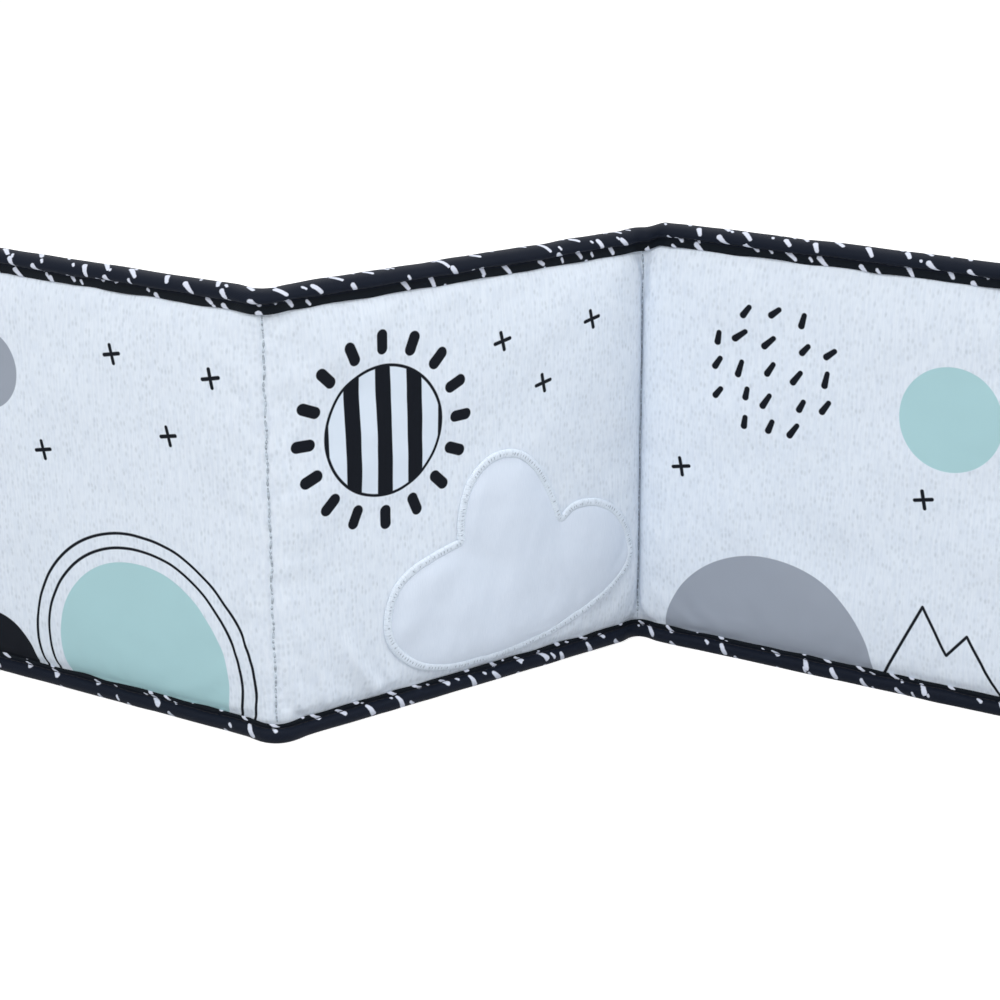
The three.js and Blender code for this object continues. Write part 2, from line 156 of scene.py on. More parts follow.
def carried_faces(stations, around, closed=False):
    """Squares between a closed section's stations; it is capped at both ends or runs into itself."""
    point = np.arange(stations * around).reshape(stations, around)
    here, ahead = (point, np.roll(point, -1, 0)) if closed else (point[:-1], point[1:])
    squares = np.stack([here, ahead, np.roll(ahead, -1, 1), np.roll(here, -1, 1)], -1).reshape(-1, 4)
    caps = [] if closed else [point[0].tolist(), point[-1, ::-1].tolist()]
    return squares.tolist() + caps


print("faces of a shell of 3 by 4 points:", len(shell_faces(3, 4)))
print("faces of a tube of 3 stations, 4 points round:", len(carried_faces(3, 4)))

# %% Make the object
sharp_from = math.radians(50)  # two faces that turn by more than this keep a crisp edge between them


def make(name, *parts):
    """One object in place from parts of (points in mm, faces, flat coordinates in mm, material)."""
    mesh = bpy.data.meshes.new(name)
    points, flats, faces, owners = [], [], [], []
    for number, (part_points, part_faces, flat, material) in enumerate(parts):
        start = sum(len(p) for p in points)
        points.append(part_points.reshape(-1, 3))
        flats.append(flat.reshape(-1, 2))
        faces += (np.array(f) + start for f in part_faces) if start else part_faces
        owners += [number] * len(part_faces)
        mesh.materials.append(material)
    points, flats = np.concatenate(points), np.concatenate(flats)
    mesh.from_pydata(points * MM, [], [list(face) for face in faces])
    mesh.polygons.foreach_set("material_index", owners)
    corners = np.empty(len(mesh.loops), np.int32)
    mesh.loops.foreach_get("vertex_index", corners)
    uv = (flats[corners] * MM).astype(np.float32).ravel()
    mesh.uv_layers.new(name="flat").data.foreach_set("uv", uv)
    mesh.calc_loop_triangles()
    triangles = np.empty(len(mesh.loop_triangles) * 3, np.int32)
    mesh.loop_triangles.foreach_get("vertices", triangles)
    a, b, c = points[triangles.reshape(-1, 3)].transpose(1, 0, 2)
    if np.einsum("ij,ij->", a, np.cross(b, c)) < 0:
        mesh.flip_normals()
    mesh.shade_smooth()
    mesh.set_sharp_from_angle(angle=sharp_from)
    piece = bpy.data.objects.new(name, mesh)
    bpy.context.scene.collection.objects.link(piece)
    print(f"{name}: {len(triangles) // 3} triangles")
    return piece


def lines(*stretches):
    """Grid lines through stretches of (from, to, spacing), each divided evenly."""
    parts = [np.linspace(a, b, max(2, round(abs(b - a) / gap) + 1))[:-1] for a, b, gap in stretches]
    return np.append(np.concatenate(parts), stretches[-1][1])


print("lines 1 apart, then 2 apart:", lines((0, 3, 1), (3, 7, 2)))

# %% [markdown]
# ## Pieces that cross a fold
# A binding beside a page just rides with its panel. Cloth, stitches and tape that cross a fold are
# fixed in place as they stand; the binding's stretches meet in one zone on either side of a fold.

# %% Fix in place a piece that crosses a fold
fold_zone = 26  # mm: straight runs of binding start this far from a fold
middle_height = (page_foot + page_top) / 2


def bend_at(piece, side):
    """Works out two points on either side of that fold, which nothing uses, and bakes the piece's place
    into its points.
    """
    near, far = (side * half_page - fold_zone, side * half_page + fold_zone)
    start, end = (on_page(s, 0, middle_height) * MM for s in (near, far))
    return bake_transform(piece)


print(f"a piece bends within {fold_zone} mm of a fold")

# %% [markdown]
# ## Nodes and colours
# The finishes are procedural: they are worked out from each piece's own flat coordinates, which are
# kept in its UV map, so a print or a weave follows the cloth round every fold. Shapes of a print are
# distances in millimetres, turned into ink where the distance falls below nothing.

# %% One function adds a node
def add(tree, kind, *inputs, named=(), **settings):
    """Adds a node with its settings. Inputs are numbers, colours or nodes, in the order of its sockets,
    and named ones go by socket name. A node given as an input stands for its first output."""
    node = tree.nodes.new("ShaderNode" + kind)
    for setting, value in settings.items():
        setattr(node, setting, value)
    sockets = [socket for socket in node.inputs if socket.enabled]
    for socket, given in [*zip(sockets, inputs), *((node.inputs[k], v) for k, v in dict(named).items())]:
        if isinstance(given, bpy.types.Node):
            given = next(output for output in given.outputs if output.enabled)
        if isinstance(given, bpy.types.NodeSocket):
            tree.links.new(given, socket)
        elif given is not None:
            socket.default_value = given
    return node


def colour(code):
    """sRGB hex to the linear red, green and blue that a shader takes."""
    value = np.array([int(code[i : i + 2], 16) for i in (1, 3, 5)]) / 255
    linear = np.where(value <= 0.04045, value / 12.92, ((value + 0.055) / 1.055) ** 2.4)
    return (*linear.tolist(), 1)


def start_material(name):
    """A new material with an empty tree, and the node that gives its flat coordinates in millimetres."""
    material = bpy.data.materials.new(name)
    material.use_nodes = True
    tree = material.node_tree
    tree.nodes.clear()
    flat = add(tree, "UVMap", uv_map="flat")
    return material, tree, add(tree, "VectorMath", flat, named={"Scale": 1 / MM}, operation="SCALE")


def finish_material(tree, base, bump_height, bump_depth, surface):
    """Ends a tree: a principled surface with its colour, and a bump of so many millimetres."""
    bump = add(tree, "Bump", named={"Strength": 1, "Distance": bump_depth * MM, "Height": bump_height})
    shader = add(tree, "BsdfPrincipled", named={"Base Color": base, "Normal": bump, **surface})
    add(tree, "OutputMaterial", shader)


print("a middle grey is, in linear light:", np.round(colour("#808080")[0], 3))

# %% Ink, and the shapes that it prints
ink_softness = 0.35  # mm over which a printed edge fades, as ink spreads in cloth


def ink(tree, distance):
    """1 inside a shape, 0 outside: 0.5 - distance / softness, kept between 0 and 1."""
    return add(tree, "Math", distance, -1 / ink_softness, 0.5, operation="MULTIPLY_ADD", use_clamp=True)


def disc(tree, place, centre, radius):
    """Distance to a disc: the distance to its centre less its radius."""
    reach = add(tree, "VectorMath", place, (*centre, 0), operation="DISTANCE")
    return add(tree, "Math", reach, radius, operation="SUBTRACT")


def outline(tree, distance, width):
    """Distance to the line round a shape: the size of its distance less half the line's width."""
    size = add(tree, "Math", distance, operation="ABSOLUTE")
    return add(tree, "Math", size, width / 2, operation="SUBTRACT")


def bar(tree, place, centre, tilt, half_length, half_width):
    """Distance to a bar with round ends: how far a point lies from the nearest point of its middle line."""
    local = add(tree, "Mapping", place, (*centre, 0), (0, 0, math.radians(tilt)), vector_type="TEXTURE")
    back = add(tree, "VectorMath", local, (-half_length, 0, 0), operation="MAXIMUM")
    nearest = add(tree, "VectorMath", back, (half_length, 0, 0), operation="MINIMUM")
    reach = add(tree, "VectorMath", local, nearest, operation="DISTANCE")
    return add(tree, "Math", reach, half_width, operation="SUBTRACT")


def either(tree, *distances):
    """Distance to several shapes together: the least of theirs."""
    joined = distances[0]
    for other in distances[1:]:
        joined = add(tree, "Math", joined, other, operation="MINIMUM")
    return joined


def both(tree, *distances):
    """Distance to what several shapes share: the greatest of theirs."""
    joined = distances[0]
    for other in distances[1:]:
        joined = add(tree, "Math", joined, other, operation="MAXIMUM")
    return joined


def zigzag(tree, place, points, width):
    """Distance to a line through points: the least distance to the bar between each two."""
    bars = []
    for (x, z), (to_x, to_z) in zip(points, points[1:]):
        run, climb = to_x - x, to_z - z
        middle = (x + run / 2, z + climb / 2)
        tilt = math.degrees(math.atan2(climb, run))
        bars.append(bar(tree, place, middle, tilt, math.hypot(run, climb) / 2, width / 2))
    return either(tree, *bars)


print(f"ink fades out over {ink_softness} mm")

# %% Strokes scattered over a cloth
stroke_taper = 0.07  # a stroke narrows by this share of its length towards one end


def strokes(tree, place, cell, shift, tilt, swing, half_lengths, half_width, kept, seed, patch=None):
    """Distance to short strokes, one in each cell of a lattice that is kept. White noise moves each one
    from its cell's centre, swings it about its tilt and sets its length between the two given. A patch
    (centre and radius) keeps only the cells whose middle lies in it."""
    scaled = add(tree, "VectorMath", place, (*cell, 1), operation="DIVIDE")
    number = add(tree, "VectorMath", scaled, operation="FLOOR")
    within = add(tree, "VectorMath", scaled, number, operation="SUBTRACT")
    chance = add(tree, "TexWhiteNoise", number, seed, noise_dimensions="4D")
    chances = add(tree, "SeparateColor", chance.outputs["Color"])
    at = add(tree, "VectorMath", within, (-0.5, -0.5, 0), operation="ADD")
    spread = add(tree, "VectorMath", chance.outputs["Color"], (-0.5, -0.5, -0.5), operation="ADD")
    most_moved = (shift[0] / cell[0], shift[1] / cell[1], 0)
    moved = add(tree, "VectorMath", spread, most_moved, at, operation="MULTIPLY_ADD")
    local = add(tree, "VectorMath", moved, (*cell, 0), operation="MULTIPLY")
    least, range_of = math.radians(-tilt - swing / 2), math.radians(swing)
    swung = add(tree, "Math", chances.outputs[2], range_of, least, operation="MULTIPLY_ADD")
    turned = add(tree, "VectorRotate", local, named={"Angle": swung}, rotation_type="Z_AXIS")
    axes = add(tree, "SeparateXYZ", turned)
    low, high = half_lengths
    length = add(tree, "Math", chance.outputs["Value"], high - low, low, operation="MULTIPLY_ADD")
    along = add(tree, "Math", axes.outputs[0], operation="ABSOLUTE")
    past = add(tree, "Math", along, length, operation="SUBTRACT")
    past = add(tree, "Math", past, 0, operation="MAXIMUM")
    reach = add(tree, "VectorMath", add(tree, "CombineXYZ", past, axes.outputs[1]), operation="LENGTH")
    taper = add(tree, "Math", axes.outputs[0], -stroke_taper, half_width, operation="MULTIPLY_ADD")
    distance = add(tree, "Math", reach, taper, operation="SUBTRACT")
    missing = add(tree, "Math", chances.outputs[1], kept, operation="GREATER_THAN")
    if patch:
        centre, radius = patch
        half_cell = (cell[0] / 2, cell[1] / 2, 0)
        middle = add(tree, "VectorMath", number, (*cell, 0), half_cell, operation="MULTIPLY_ADD")
        outside = add(tree, "Math", disc(tree, middle, centre, radius), 0, operation="GREATER_THAN")
        missing = add(tree, "Math", missing, outside, operation="MAXIMUM")
    return add(tree, "Math", missing, cell[0], distance, operation="MULTIPLY_ADD")


print(f"a stroke 3 mm long is {3 * stroke_taper:.2f} mm thinner at one end")

# %% [markdown]
# ## The pages' cloth
# The pages are a brushed white polyester with a faint blue cast. Close to, it has fine upright ribs
# and small grey flecks where the base thread shows through. Where it is printed, the ink fills the
# ribs, so a print is smooth and has no flecks. The pictures here are plain: a striped sun, a mint hill
# under two arcs, a grey hill under falling strokes, peaks, two moons, a dark stone and a few crosses.

# %% Ribs and flecks
CLOTH_WHITE = "#dfe8f3"
# painted shade: the colour of the hollows between the ribs
RIB_HOLLOW_SHADE = "#d7e1ee"
FLECK = "#aab5c0"
PRINT_WHITE = "#d6e2f0"
INK_BLACK = "#10141c"
MINT = "#a8cdd3"
PRINT_GREY = "#979fac"
rib_size = (1.1, 9)  # mm across and up
fleck_cell = (1.65, 3)  # mm from fleck to fleck, across and up
fleck_edge = (0.52, 0.12)  # in cells: a fleck starts this far from its middle, and is full this near
mottle_size = 5  # mm across the patches where flecks are many or few


def ribs_and_flecks(tree, place):
    """Heights of the ribs, from a noise drawn out upwards, and how much fleck shows: cells with a spot
    in each, drawn out upwards too, and some fainter than others."""
    rib_place = add(tree, "VectorMath", place, (1 / rib_size[0], 1 / rib_size[1], 1), operation="MULTIPLY")
    rib = add(tree, "TexNoise", named={"Vector": rib_place, "Scale": 1, "Detail": 2, "Roughness": 0.6})
    cells = add(tree, "VectorMath", place, (1 / fleck_cell[0], 1 / fleck_cell[1], 1), operation="MULTIPLY")
    scattered = {"Vector": cells, "Scale": 1, "Randomness": 0.8}
    spot = add(tree, "TexVoronoi", named=scattered, voronoi_dimensions="2D")
    # A MapRange takes a value, the two ends of the range it lies in and the two ends of the range it gets
    shown = add(tree, "MapRange", spot, *fleck_edge, 0, 1)
    strength = add(tree, "MapRange", add(tree, "SeparateColor", spot.outputs["Color"]), 0.25, 1, 0.1, 1)
    patchy = add(tree, "TexNoise", named={"Vector": place, "Scale": 1 / mottle_size, "Detail": 1})
    patchy = add(tree, "MapRange", patchy, 0.35, 0.65, 0.5, 1)
    shown = add(tree, "Math", shown, strength, operation="MULTIPLY")
    return rib, add(tree, "Math", shown, patchy, operation="MULTIPLY")


print(f"ribs {rib_size[0]} mm apart, flecks {fleck_cell[0]} mm apart")

# %% [markdown]
# The four print layers are laid one over another, as a printer lays inks.

# %% Where the front print's shapes lie
# Places are (s along the book, height above the page's foot), and all sizes are in mm
line_width = 1.25
sun_centre, sun_radius = (-42, 112), 26
stripe_pitch, stripe_half = 14, 3.4
ray_count, ray_gap = 16, 9.5  # the gap is from the sun's edge to the middle of a ray
ray_half_length, ray_half_width = 2.6, 2.4
hill_place, hill_radius, arc_radii = (-152, 14), 42, (48, 54)
cross_places = [(-112, 138), (-133, 112), (-158, 141), (-196, 96), (14, 139), (35, 118), (60, 141),
                (112, 74), (216, 78)]
cross_half_length, cross_half_width, cross_tilt = 3.6, 0.8, 12
grey_hill_place, grey_hill_radius = (half_page + 61, -6), 47
shower_place, shower_radius = (half_page + 58, 121), 31
peak_line = [(half_page + x, z) for x, z in ((112, -2), (128, 33), (139, 14), (147, 24), (163, -2))]
stone_place, stone_radius = (-229, 0), 20
mint_moon_place, mint_moon_radius = (half_page + 134, 112), 21
far_moon_place, far_moon_radius = (-224, 126), 17
print(f"front print: a sun with {ray_count} rays, {len(cross_places)} crosses, {len(peak_line) // 2} peaks")

# %% The front print
def front_print(tree, place):
    """Masks of white, mint, grey and black ink over the three front pages, in millimetres of the book."""
    at = add(tree, "VectorMath", place, (0, -page_foot, 0), operation="ADD")
    axes = add(tree, "SeparateXYZ", at)

    sun = disc(tree, at, sun_centre, sun_radius)
    stripe_wave = add(tree, "Math", axes.outputs[0], stripe_pitch / 2, operation="PINGPONG")
    stripe = add(tree, "Math", stripe_wave, stripe_half, operation="SUBTRACT")
    stripes = both(tree, stripe, sun)
    from_sun = add(tree, "VectorMath", at, (-sun_centre[0], -sun_centre[1], 0), operation="ADD")
    sun_axes = add(tree, "SeparateXYZ", from_sun)
    bearing = add(tree, "Math", sun_axes.outputs[1], sun_axes.outputs[0], operation="ARCTAN2")
    ray_turn = 2 * math.pi / ray_count
    folded = add(tree, "Math", bearing, ray_turn / 2, -ray_turn / 2, operation="WRAP")
    far = add(tree, "VectorMath", from_sun, operation="LENGTH")
    ray_x = add(tree, "Math", far, add(tree, "Math", folded, operation="COSINE"), operation="MULTIPLY")
    ray_y = add(tree, "Math", far, add(tree, "Math", folded, operation="SINE"), operation="MULTIPLY")
    on_ray = add(tree, "CombineXYZ", ray_x, ray_y)
    rays = bar(tree, on_ray, (sun_radius + ray_gap, 0), 0, ray_half_length, ray_half_width)

    hill = disc(tree, at, hill_place, hill_radius)
    arcs = [outline(tree, disc(tree, at, hill_place, radius), line_width) for radius in arc_radii]
    crosses = []
    for cross_place in cross_places:
        for tilt in (cross_tilt, cross_tilt + 90):
            crosses.append(bar(tree, at, cross_place, tilt, cross_half_length, cross_half_width))

    grey_hill = disc(tree, at, grey_hill_place, grey_hill_radius)
    falling = strokes(tree, at, cell=(12, 11.5), shift=(4, 3), tilt=62, swing=50, half_lengths=(1.7, 2.7),
                      half_width=1.25, kept=0.92, seed=3, patch=(shower_place, shower_radius))
    peaks = zigzag(tree, at, peak_line, line_width)
    stone = disc(tree, at, stone_place, stone_radius)
    mint_moon = disc(tree, at, mint_moon_place, mint_moon_radius)
    far_moon = disc(tree, at, far_moon_place, far_moon_radius)

    white = ink(tree, sun)
    mint = ink(tree, either(tree, hill, mint_moon))
    grey = ink(tree, either(tree, grey_hill, far_moon))
    sun_line = outline(tree, sun, line_width)
    black = ink(tree, either(tree, sun_line, stripes, rays, *arcs, *crosses, falling, peaks, stone))
    return white, mint, grey, black


print("inks of the front print, in order:", PRINT_WHITE, MINT, PRINT_GREY, INK_BLACK)

# %% Lay the inks on the cloth
fleck_strength = 0.42
rib_depth = 0.12  # mm of relief, of which the ink fills all but the share below
inked_relief = 0.2
repeat = 33  # mm from cross to cross on the back


def lay_inks(tree, cloth_colour, layers):
    """Mixes each ink over the cloth by its mask, in order."""
    for mask, code in layers:
        cloth_colour = add(tree, "Mix", mask, cloth_colour, colour(code), data_type="RGBA")
    return cloth_colour


def page_material(name, print_of):
    """Brushed printed polyester: matt, with low ribs that the ink fills."""
    material, tree, place = start_material(name)
    rib, fleck = ribs_and_flecks(tree, place)
    layers = print_of(tree, place)
    covered = layers[0][0]
    for mask, _ in layers[1:]:
        covered = add(tree, "Math", covered, mask, operation="MAXIMUM")
    bare = add(tree, "Math", covered, -1, 1, operation="MULTIPLY_ADD")
    fleck_share = add(tree, "Math", bare, fleck_strength, operation="MULTIPLY")
    flecked = add(tree, "Math", fleck, fleck_share, operation="MULTIPLY")
    # The ribs' tops are painted full white and their hollows darker, as painted shade
    rib_top_share = add(tree, "MapRange", rib, 0.35, 0.62, 0, 1)
    rib_shaded_cloth = add(tree, "Mix", rib_top_share, colour(RIB_HOLLOW_SHADE), colour(CLOTH_WHITE), data_type="RGBA")
    cloth = add(tree, "Mix", flecked, rib_shaded_cloth, colour(FLECK), data_type="RGBA")
    base = lay_inks(tree, cloth, layers)
    relief_share = add(tree, "Math", bare, 1 - inked_relief, inked_relief, operation="MULTIPLY_ADD")
    height = add(tree, "Math", rib, relief_share, operation="MULTIPLY")
    surface = {"Roughness": 0.95, "Specular IOR Level": 0.15}
    finish_material(tree, base, height, rib_depth, surface)
    return material


def front_layers(tree, place):
    """The front's inks in the order they are laid."""
    white, mint, grey, black = front_print(tree, place)
    return [(white, PRINT_WHITE), (mint, MINT), (grey, PRINT_GREY), (black, INK_BLACK)]


def back_layers(tree, place):
    """The back's plain repeat: grey crosses on a wide lattice, with a mint dot between them. Each motif
    is a stroke that is neither moved nor left out: a cross is two of them, and a dot is a short one."""
    at = add(tree, "VectorMath", place, (0, -page_foot, 0), operation="ADD")
    shifted = add(tree, "VectorMath", at, (repeat / 2, repeat / 2, 0), operation="ADD")
    even = {"cell": (repeat, repeat), "shift": (0, 0), "swing": 0, "kept": 2, "seed": 1}
    arms = [strokes(tree, at, tilt=tilt, half_lengths=(3, 3), half_width=0.8, **even) for tilt in (45, -45)]
    dots = strokes(tree, shifted, tilt=0, half_lengths=(0.2, 0.2), half_width=2.2, **even)
    return [(ink(tree, dots), MINT), (ink(tree, either(tree, *arms)), PRINT_GREY)]


page_cloth = page_material("brushed_polyester_front_print", front_layers)
back_cloth = page_material("brushed_polyester_back_print", back_layers)
print("page cloth nodes:", len(page_cloth.node_tree.nodes))

# %% [markdown]
# ## The other finishes
# The tape is a woven black polyester ribbon, printed with short white dashes. The cloud is satin, which
# is smooth and a little glossy, in a border of bright embroidery thread. The wadding and the sewing
# threads hardly show, but they have finishes of their own.

# %% Black tape with white dashes
TAPE_BLACK = "#111723"
# painted shade: the strip is the roll's own tape, painted blacker
STRIP_SHADE_BLACK = "#0b1118"
DASH_WHITE = "#ced4e3"
groove_run = 11  # mm round the roll from its top to the line of stitches
dash_slant = 27  # degrees
edge_wobble, wobble_scale = 0.32, 1.4  # mm that a dash's edge wobbles by, and how many go in a mm
weave_scale = 0.55  # a rib about every 0.8 mm: the real ones are finer, and wouldn't show at all
weave_depth = 0.05  # mm


def tape_material():
    """Woven ribbon: near black, a low gloss, fine diagonal weave, and jittered slanting dashes. The flat
    strip below the stitches is painted a little blacker than the roll, as painted shade: it faces the
    front and catches less glancing light."""
    material, tree, place = start_material("black_polyester_tape")
    rough = add(tree, "TexNoise", named={"Vector": place, "Scale": wobble_scale, "Detail": 2})
    most = (edge_wobble, edge_wobble, 0)
    wobble = add(tree, "VectorMath", rough.outputs["Color"], most, place, operation="MULTIPLY_ADD")
    slant = {"Angle": math.radians(dash_slant)}
    askew = add(tree, "VectorRotate", wobble, named=slant, rotation_type="Z_AXIS")
    long_dashes = strokes(tree, askew, cell=(11, 7.6), shift=(6, 3), tilt=79, swing=26,
                          half_lengths=(1.1, 2.9), half_width=0.88, kept=0.78, seed=5)
    between = add(tree, "VectorMath", askew, (5.7, 4.1, 0), operation="ADD")
    specks = strokes(tree, between, cell=(13, 7.6), shift=(7, 4), tilt=77, swing=40,
                     half_lengths=(0.1, 1), half_width=0.55, kept=0.55, seed=8)
    dashes = ink(tree, either(tree, long_dashes, specks))
    axes = add(tree, "SeparateXYZ", place)
    from_top = add(tree, "Math", axes.outputs[1], operation="ABSOLUTE")
    past_stitches = add(tree, "Math", from_top, groove_run, operation="SUBTRACT")
    # Below the stitches the tape is painted blacker, as painted shade on the strip
    on_shaded_strip = add(tree, "Math", past_stitches, 0, operation="GREATER_THAN")
    black = add(tree, "Mix", on_shaded_strip, colour(TAPE_BLACK), colour(STRIP_SHADE_BLACK), data_type="RGBA")
    base = add(tree, "Mix", dashes, black, colour(DASH_WHITE), data_type="RGBA")
    threads = {"Vector": place, "Scale": weave_scale, "Distortion": 1.2}
    weave = add(tree, "TexWave", named=threads, bands_direction="DIAGONAL")
    surface = {"Roughness": 0.6, "Specular IOR Level": 0.08}
    finish_material(tree, base, weave, weave_depth, surface)
    return material


tape_cloth = tape_material()
print("tape nodes:", len(tape_cloth.node_tree.nodes))

# %% Satin, embroidery thread, sewing threads and wadding
border_width = 3.7  # mm across the zigzag
thread_pitch = 0.8  # mm between the border's threads, drawn coarser than real ones so that they show
# painted shade: the gaps between the border's threads and its needle holes
GAP_SHADE_GREY, NEEDLE_HOLE_SHADE = "#c6d1dd", "#8b96a4"
SATIN_WHITE, SATIN_SHADE = "#d8e2f0", "#d2ddec"
THREAD_WHITE, SEAM_GREY, THREAD_BLACK, WADDING_WHITE = "#d9e3ef", "#b9c5d1", "#101218", "#f2f3f5"
hole_shade_strength = 0.75
float_size = (0.25, 4)  # mm across and along: the satin's float threads


# shade is the share of its colour that a thread keeps in its painted shade
def thread_material(name, code, pitch, roughness, shade=0.8):
    """Twisted thread: its colour on the twist's raised parts, painted as light, and a darker share of it in
    the hollows, painted as shade; the twist is also a fine bump.
    """
    material, tree, place = start_material(name)
    twist_light_and_height = add(tree, "TexNoise", named={"Vector": place, "Scale": 1 / pitch, "Detail": 2})
    light, dark = colour(code), tuple(shade * v for v in colour(code)[:3]) + (1,)
    # the twist's raised parts are painted lit and its hollows painted in shade
    lit = add(tree, "MapRange", twist_light_and_height, 0.35, 0.6, 0, 1)
    base = add(tree, "Mix", lit, dark, light, data_type="RGBA")
    surface = {"Roughness": roughness, "Specular IOR Level": 0.25}
    finish_material(tree, base, twist_light_and_height, bump_depth=0.1, surface=surface)
    return material


def zigzag_material(name, code):
    """Rayon zigzag: threads side by side, with painted shade in the gaps between them, and grey needle
    holes along the band's middle, painted dark as painted shade.
    """
    material, tree, place = start_material(name)
    across = (1 / thread_pitch, 1 / (4 * thread_pitch), 1)
    threads = add(tree, "VectorMath", place, across, operation="MULTIPLY")
    thread = add(tree, "TexNoise", named={"Vector": threads, "Scale": 1, "Detail": 2.5, "Roughness": 0.7})
    thread_top_share = add(tree, "MapRange", thread, 0.3, 0.52, 0, 1)
    # the gaps between threads are painted darker: painted shade
    base = add(tree, "Mix", thread_top_share, colour(GAP_SHADE_GREY), colour(code), data_type="RGBA")
    holes = strokes(tree, place, cell=(2 * thread_pitch, border_width), shift=(thread_pitch, 0), tilt=90,
                    swing=30, half_lengths=(0.1, 0.45), half_width=0.22, kept=0.7, seed=2)
    # needle holes painted dark: painted shade
    holes = add(tree, "Math", ink(tree, holes), hole_shade_strength, operation="MULTIPLY")
    base = add(tree, "Mix", holes, base, colour(NEEDLE_HOLE_SHADE), data_type="RGBA")
    surface = {"Roughness": 0.5, "Specular IOR Level": 0.3}
    finish_material(tree, base, thread, bump_depth=0.15, surface=surface)
    return material


def satin_material():
    """Satin: float threads run one way, so it is smooth with a broad low gloss and no texture to see."""
    material, tree, place = start_material("white_satin")
    floats = add(tree, "VectorMath", place, (1 / float_size[0], 1 / float_size[1], 1), operation="MULTIPLY")
    grain = add(tree, "TexNoise", named={"Vector": floats, "Scale": 1, "Detail": 1})
    shade = add(tree, "MapRange", grain, 0.3, 0.7, 0, 1)
    base = add(tree, "Mix", shade, colour(SATIN_SHADE), colour(SATIN_WHITE), data_type="RGBA")
    surface = {"Roughness": 0.48, "Specular IOR Level": 0.35}
    finish_material(tree, base, grain, bump_depth=0.02, surface=surface)
    return material


satin = satin_material()
border_thread = zigzag_material("white_embroidery_thread", THREAD_WHITE)
# the seam's thread gets a deeper painted shade in its hollows
seam_thread = thread_material("grey_sewing_thread", SEAM_GREY, pitch=1.3, roughness=0.7, shade=0.55)
black_thread = thread_material("black_sewing_thread", THREAD_BLACK, pitch=0.6, roughness=0.6)
wadding = thread_material("polyester_wadding", WADDING_WHITE, pitch=3, roughness=1)
print("materials:", len(bpy.data.materials))

# %% [markdown]
# ## The pages' thickness
# A page is pressed flat where the binding grips it, and swells from there like a cushion. At a fold
# both cloths are stitched together, so it draws in to almost nothing. The swell is one function of
# the two distances, from the rim and from the fold, and everything on the page lies on it.

# %% Thickness of a page
hem_half = 1.7  # mm: half a page's thickness in the binding's grip
seam_half = 0.45  # and at a fold
cloth_thickness = 0.8
edge_rise, edge_reach = 1.3, 9  # mm that a face rises, and the distance from the binding where it stops
crown_rise, crown_reach = 2, 34  # and the slow rise that goes on towards the middle of the page
fold_reach, fold_power = 10, 4  # the same at a fold, where the wadding is pushed up against the seam
fold_share = 0.55
edge_power, crown_power = 3, 2
pressed_band = 0.5  # beside the binding the cloth lies flat
seam_band = 0.5  # and so it does beside the seam


def from_rim(s, z):
    """Distance inside the binding's edge: the least of up, down and along, round at the four corners."""
    up = np.minimum(z - page_foot, page_top - z)
    along = book_end - binding_height - np.abs(s)
    rounded = corner_radius - np.hypot(corner_radius - up, corner_radius - along)
    return np.where((up < corner_radius) & (along < corner_radius), rounded, np.minimum(up, along))


def from_fold(s):
    """Distance along the page from the nearest fold."""
    return np.abs(np.abs(s) - half_page)


def swell(distance, reach, power):
    """1 - (1 - distance / reach)^power: the greater the power, the steeper it leaves the edge."""
    return 1 - (1 - np.clip(distance / reach, 0, 1)) ** power


def half_thickness(s, z):
    """From the rim a face rises fast, then slowly, towards its full height; beside a fold it comes down
    to the seam in the same two ways: seam + (full - seam) (share fast + (1 - share) slow)."""
    rim, fold = from_rim(s, z) - pressed_band, from_fold(s) - seam_band
    full = hem_half + edge_rise * swell(rim, edge_reach, edge_power)
    full = full + crown_rise * swell(rim, crown_reach, crown_power)
    near = fold_share * swell(fold, fold_reach, fold_power)
    near = near + (1 - fold_share) * swell(fold, crown_reach, crown_power)
    return seam_half + (full - seam_half) * near


print(f"half thickness mid-page: {half_thickness(0, middle_height):.1f} mm")

# %% [markdown]
# ## Letting stuffed cloth find its shape
# Where stuffed cloth is held along an edge, it gathers into small puckers that no formula gives well.
# So a cloth simulation makes them: a grid of cloth, cut a little larger than its frame, is pinned
# along the stitches and blown up from inside. Cloth over wadding can't rise like a balloon, so only
# the puckers are kept: the rise less its own local mean. The mean itself is held below a limit, by
# limit tanh(mean / limit).

# %% Simulate a cloth that is held and blown up
sim_gap = 2  # mm between the grid's points
sim_frames = 20
pin_reach = 0.3  # mm: besides the pressed band, the cloth is pinned this much further in


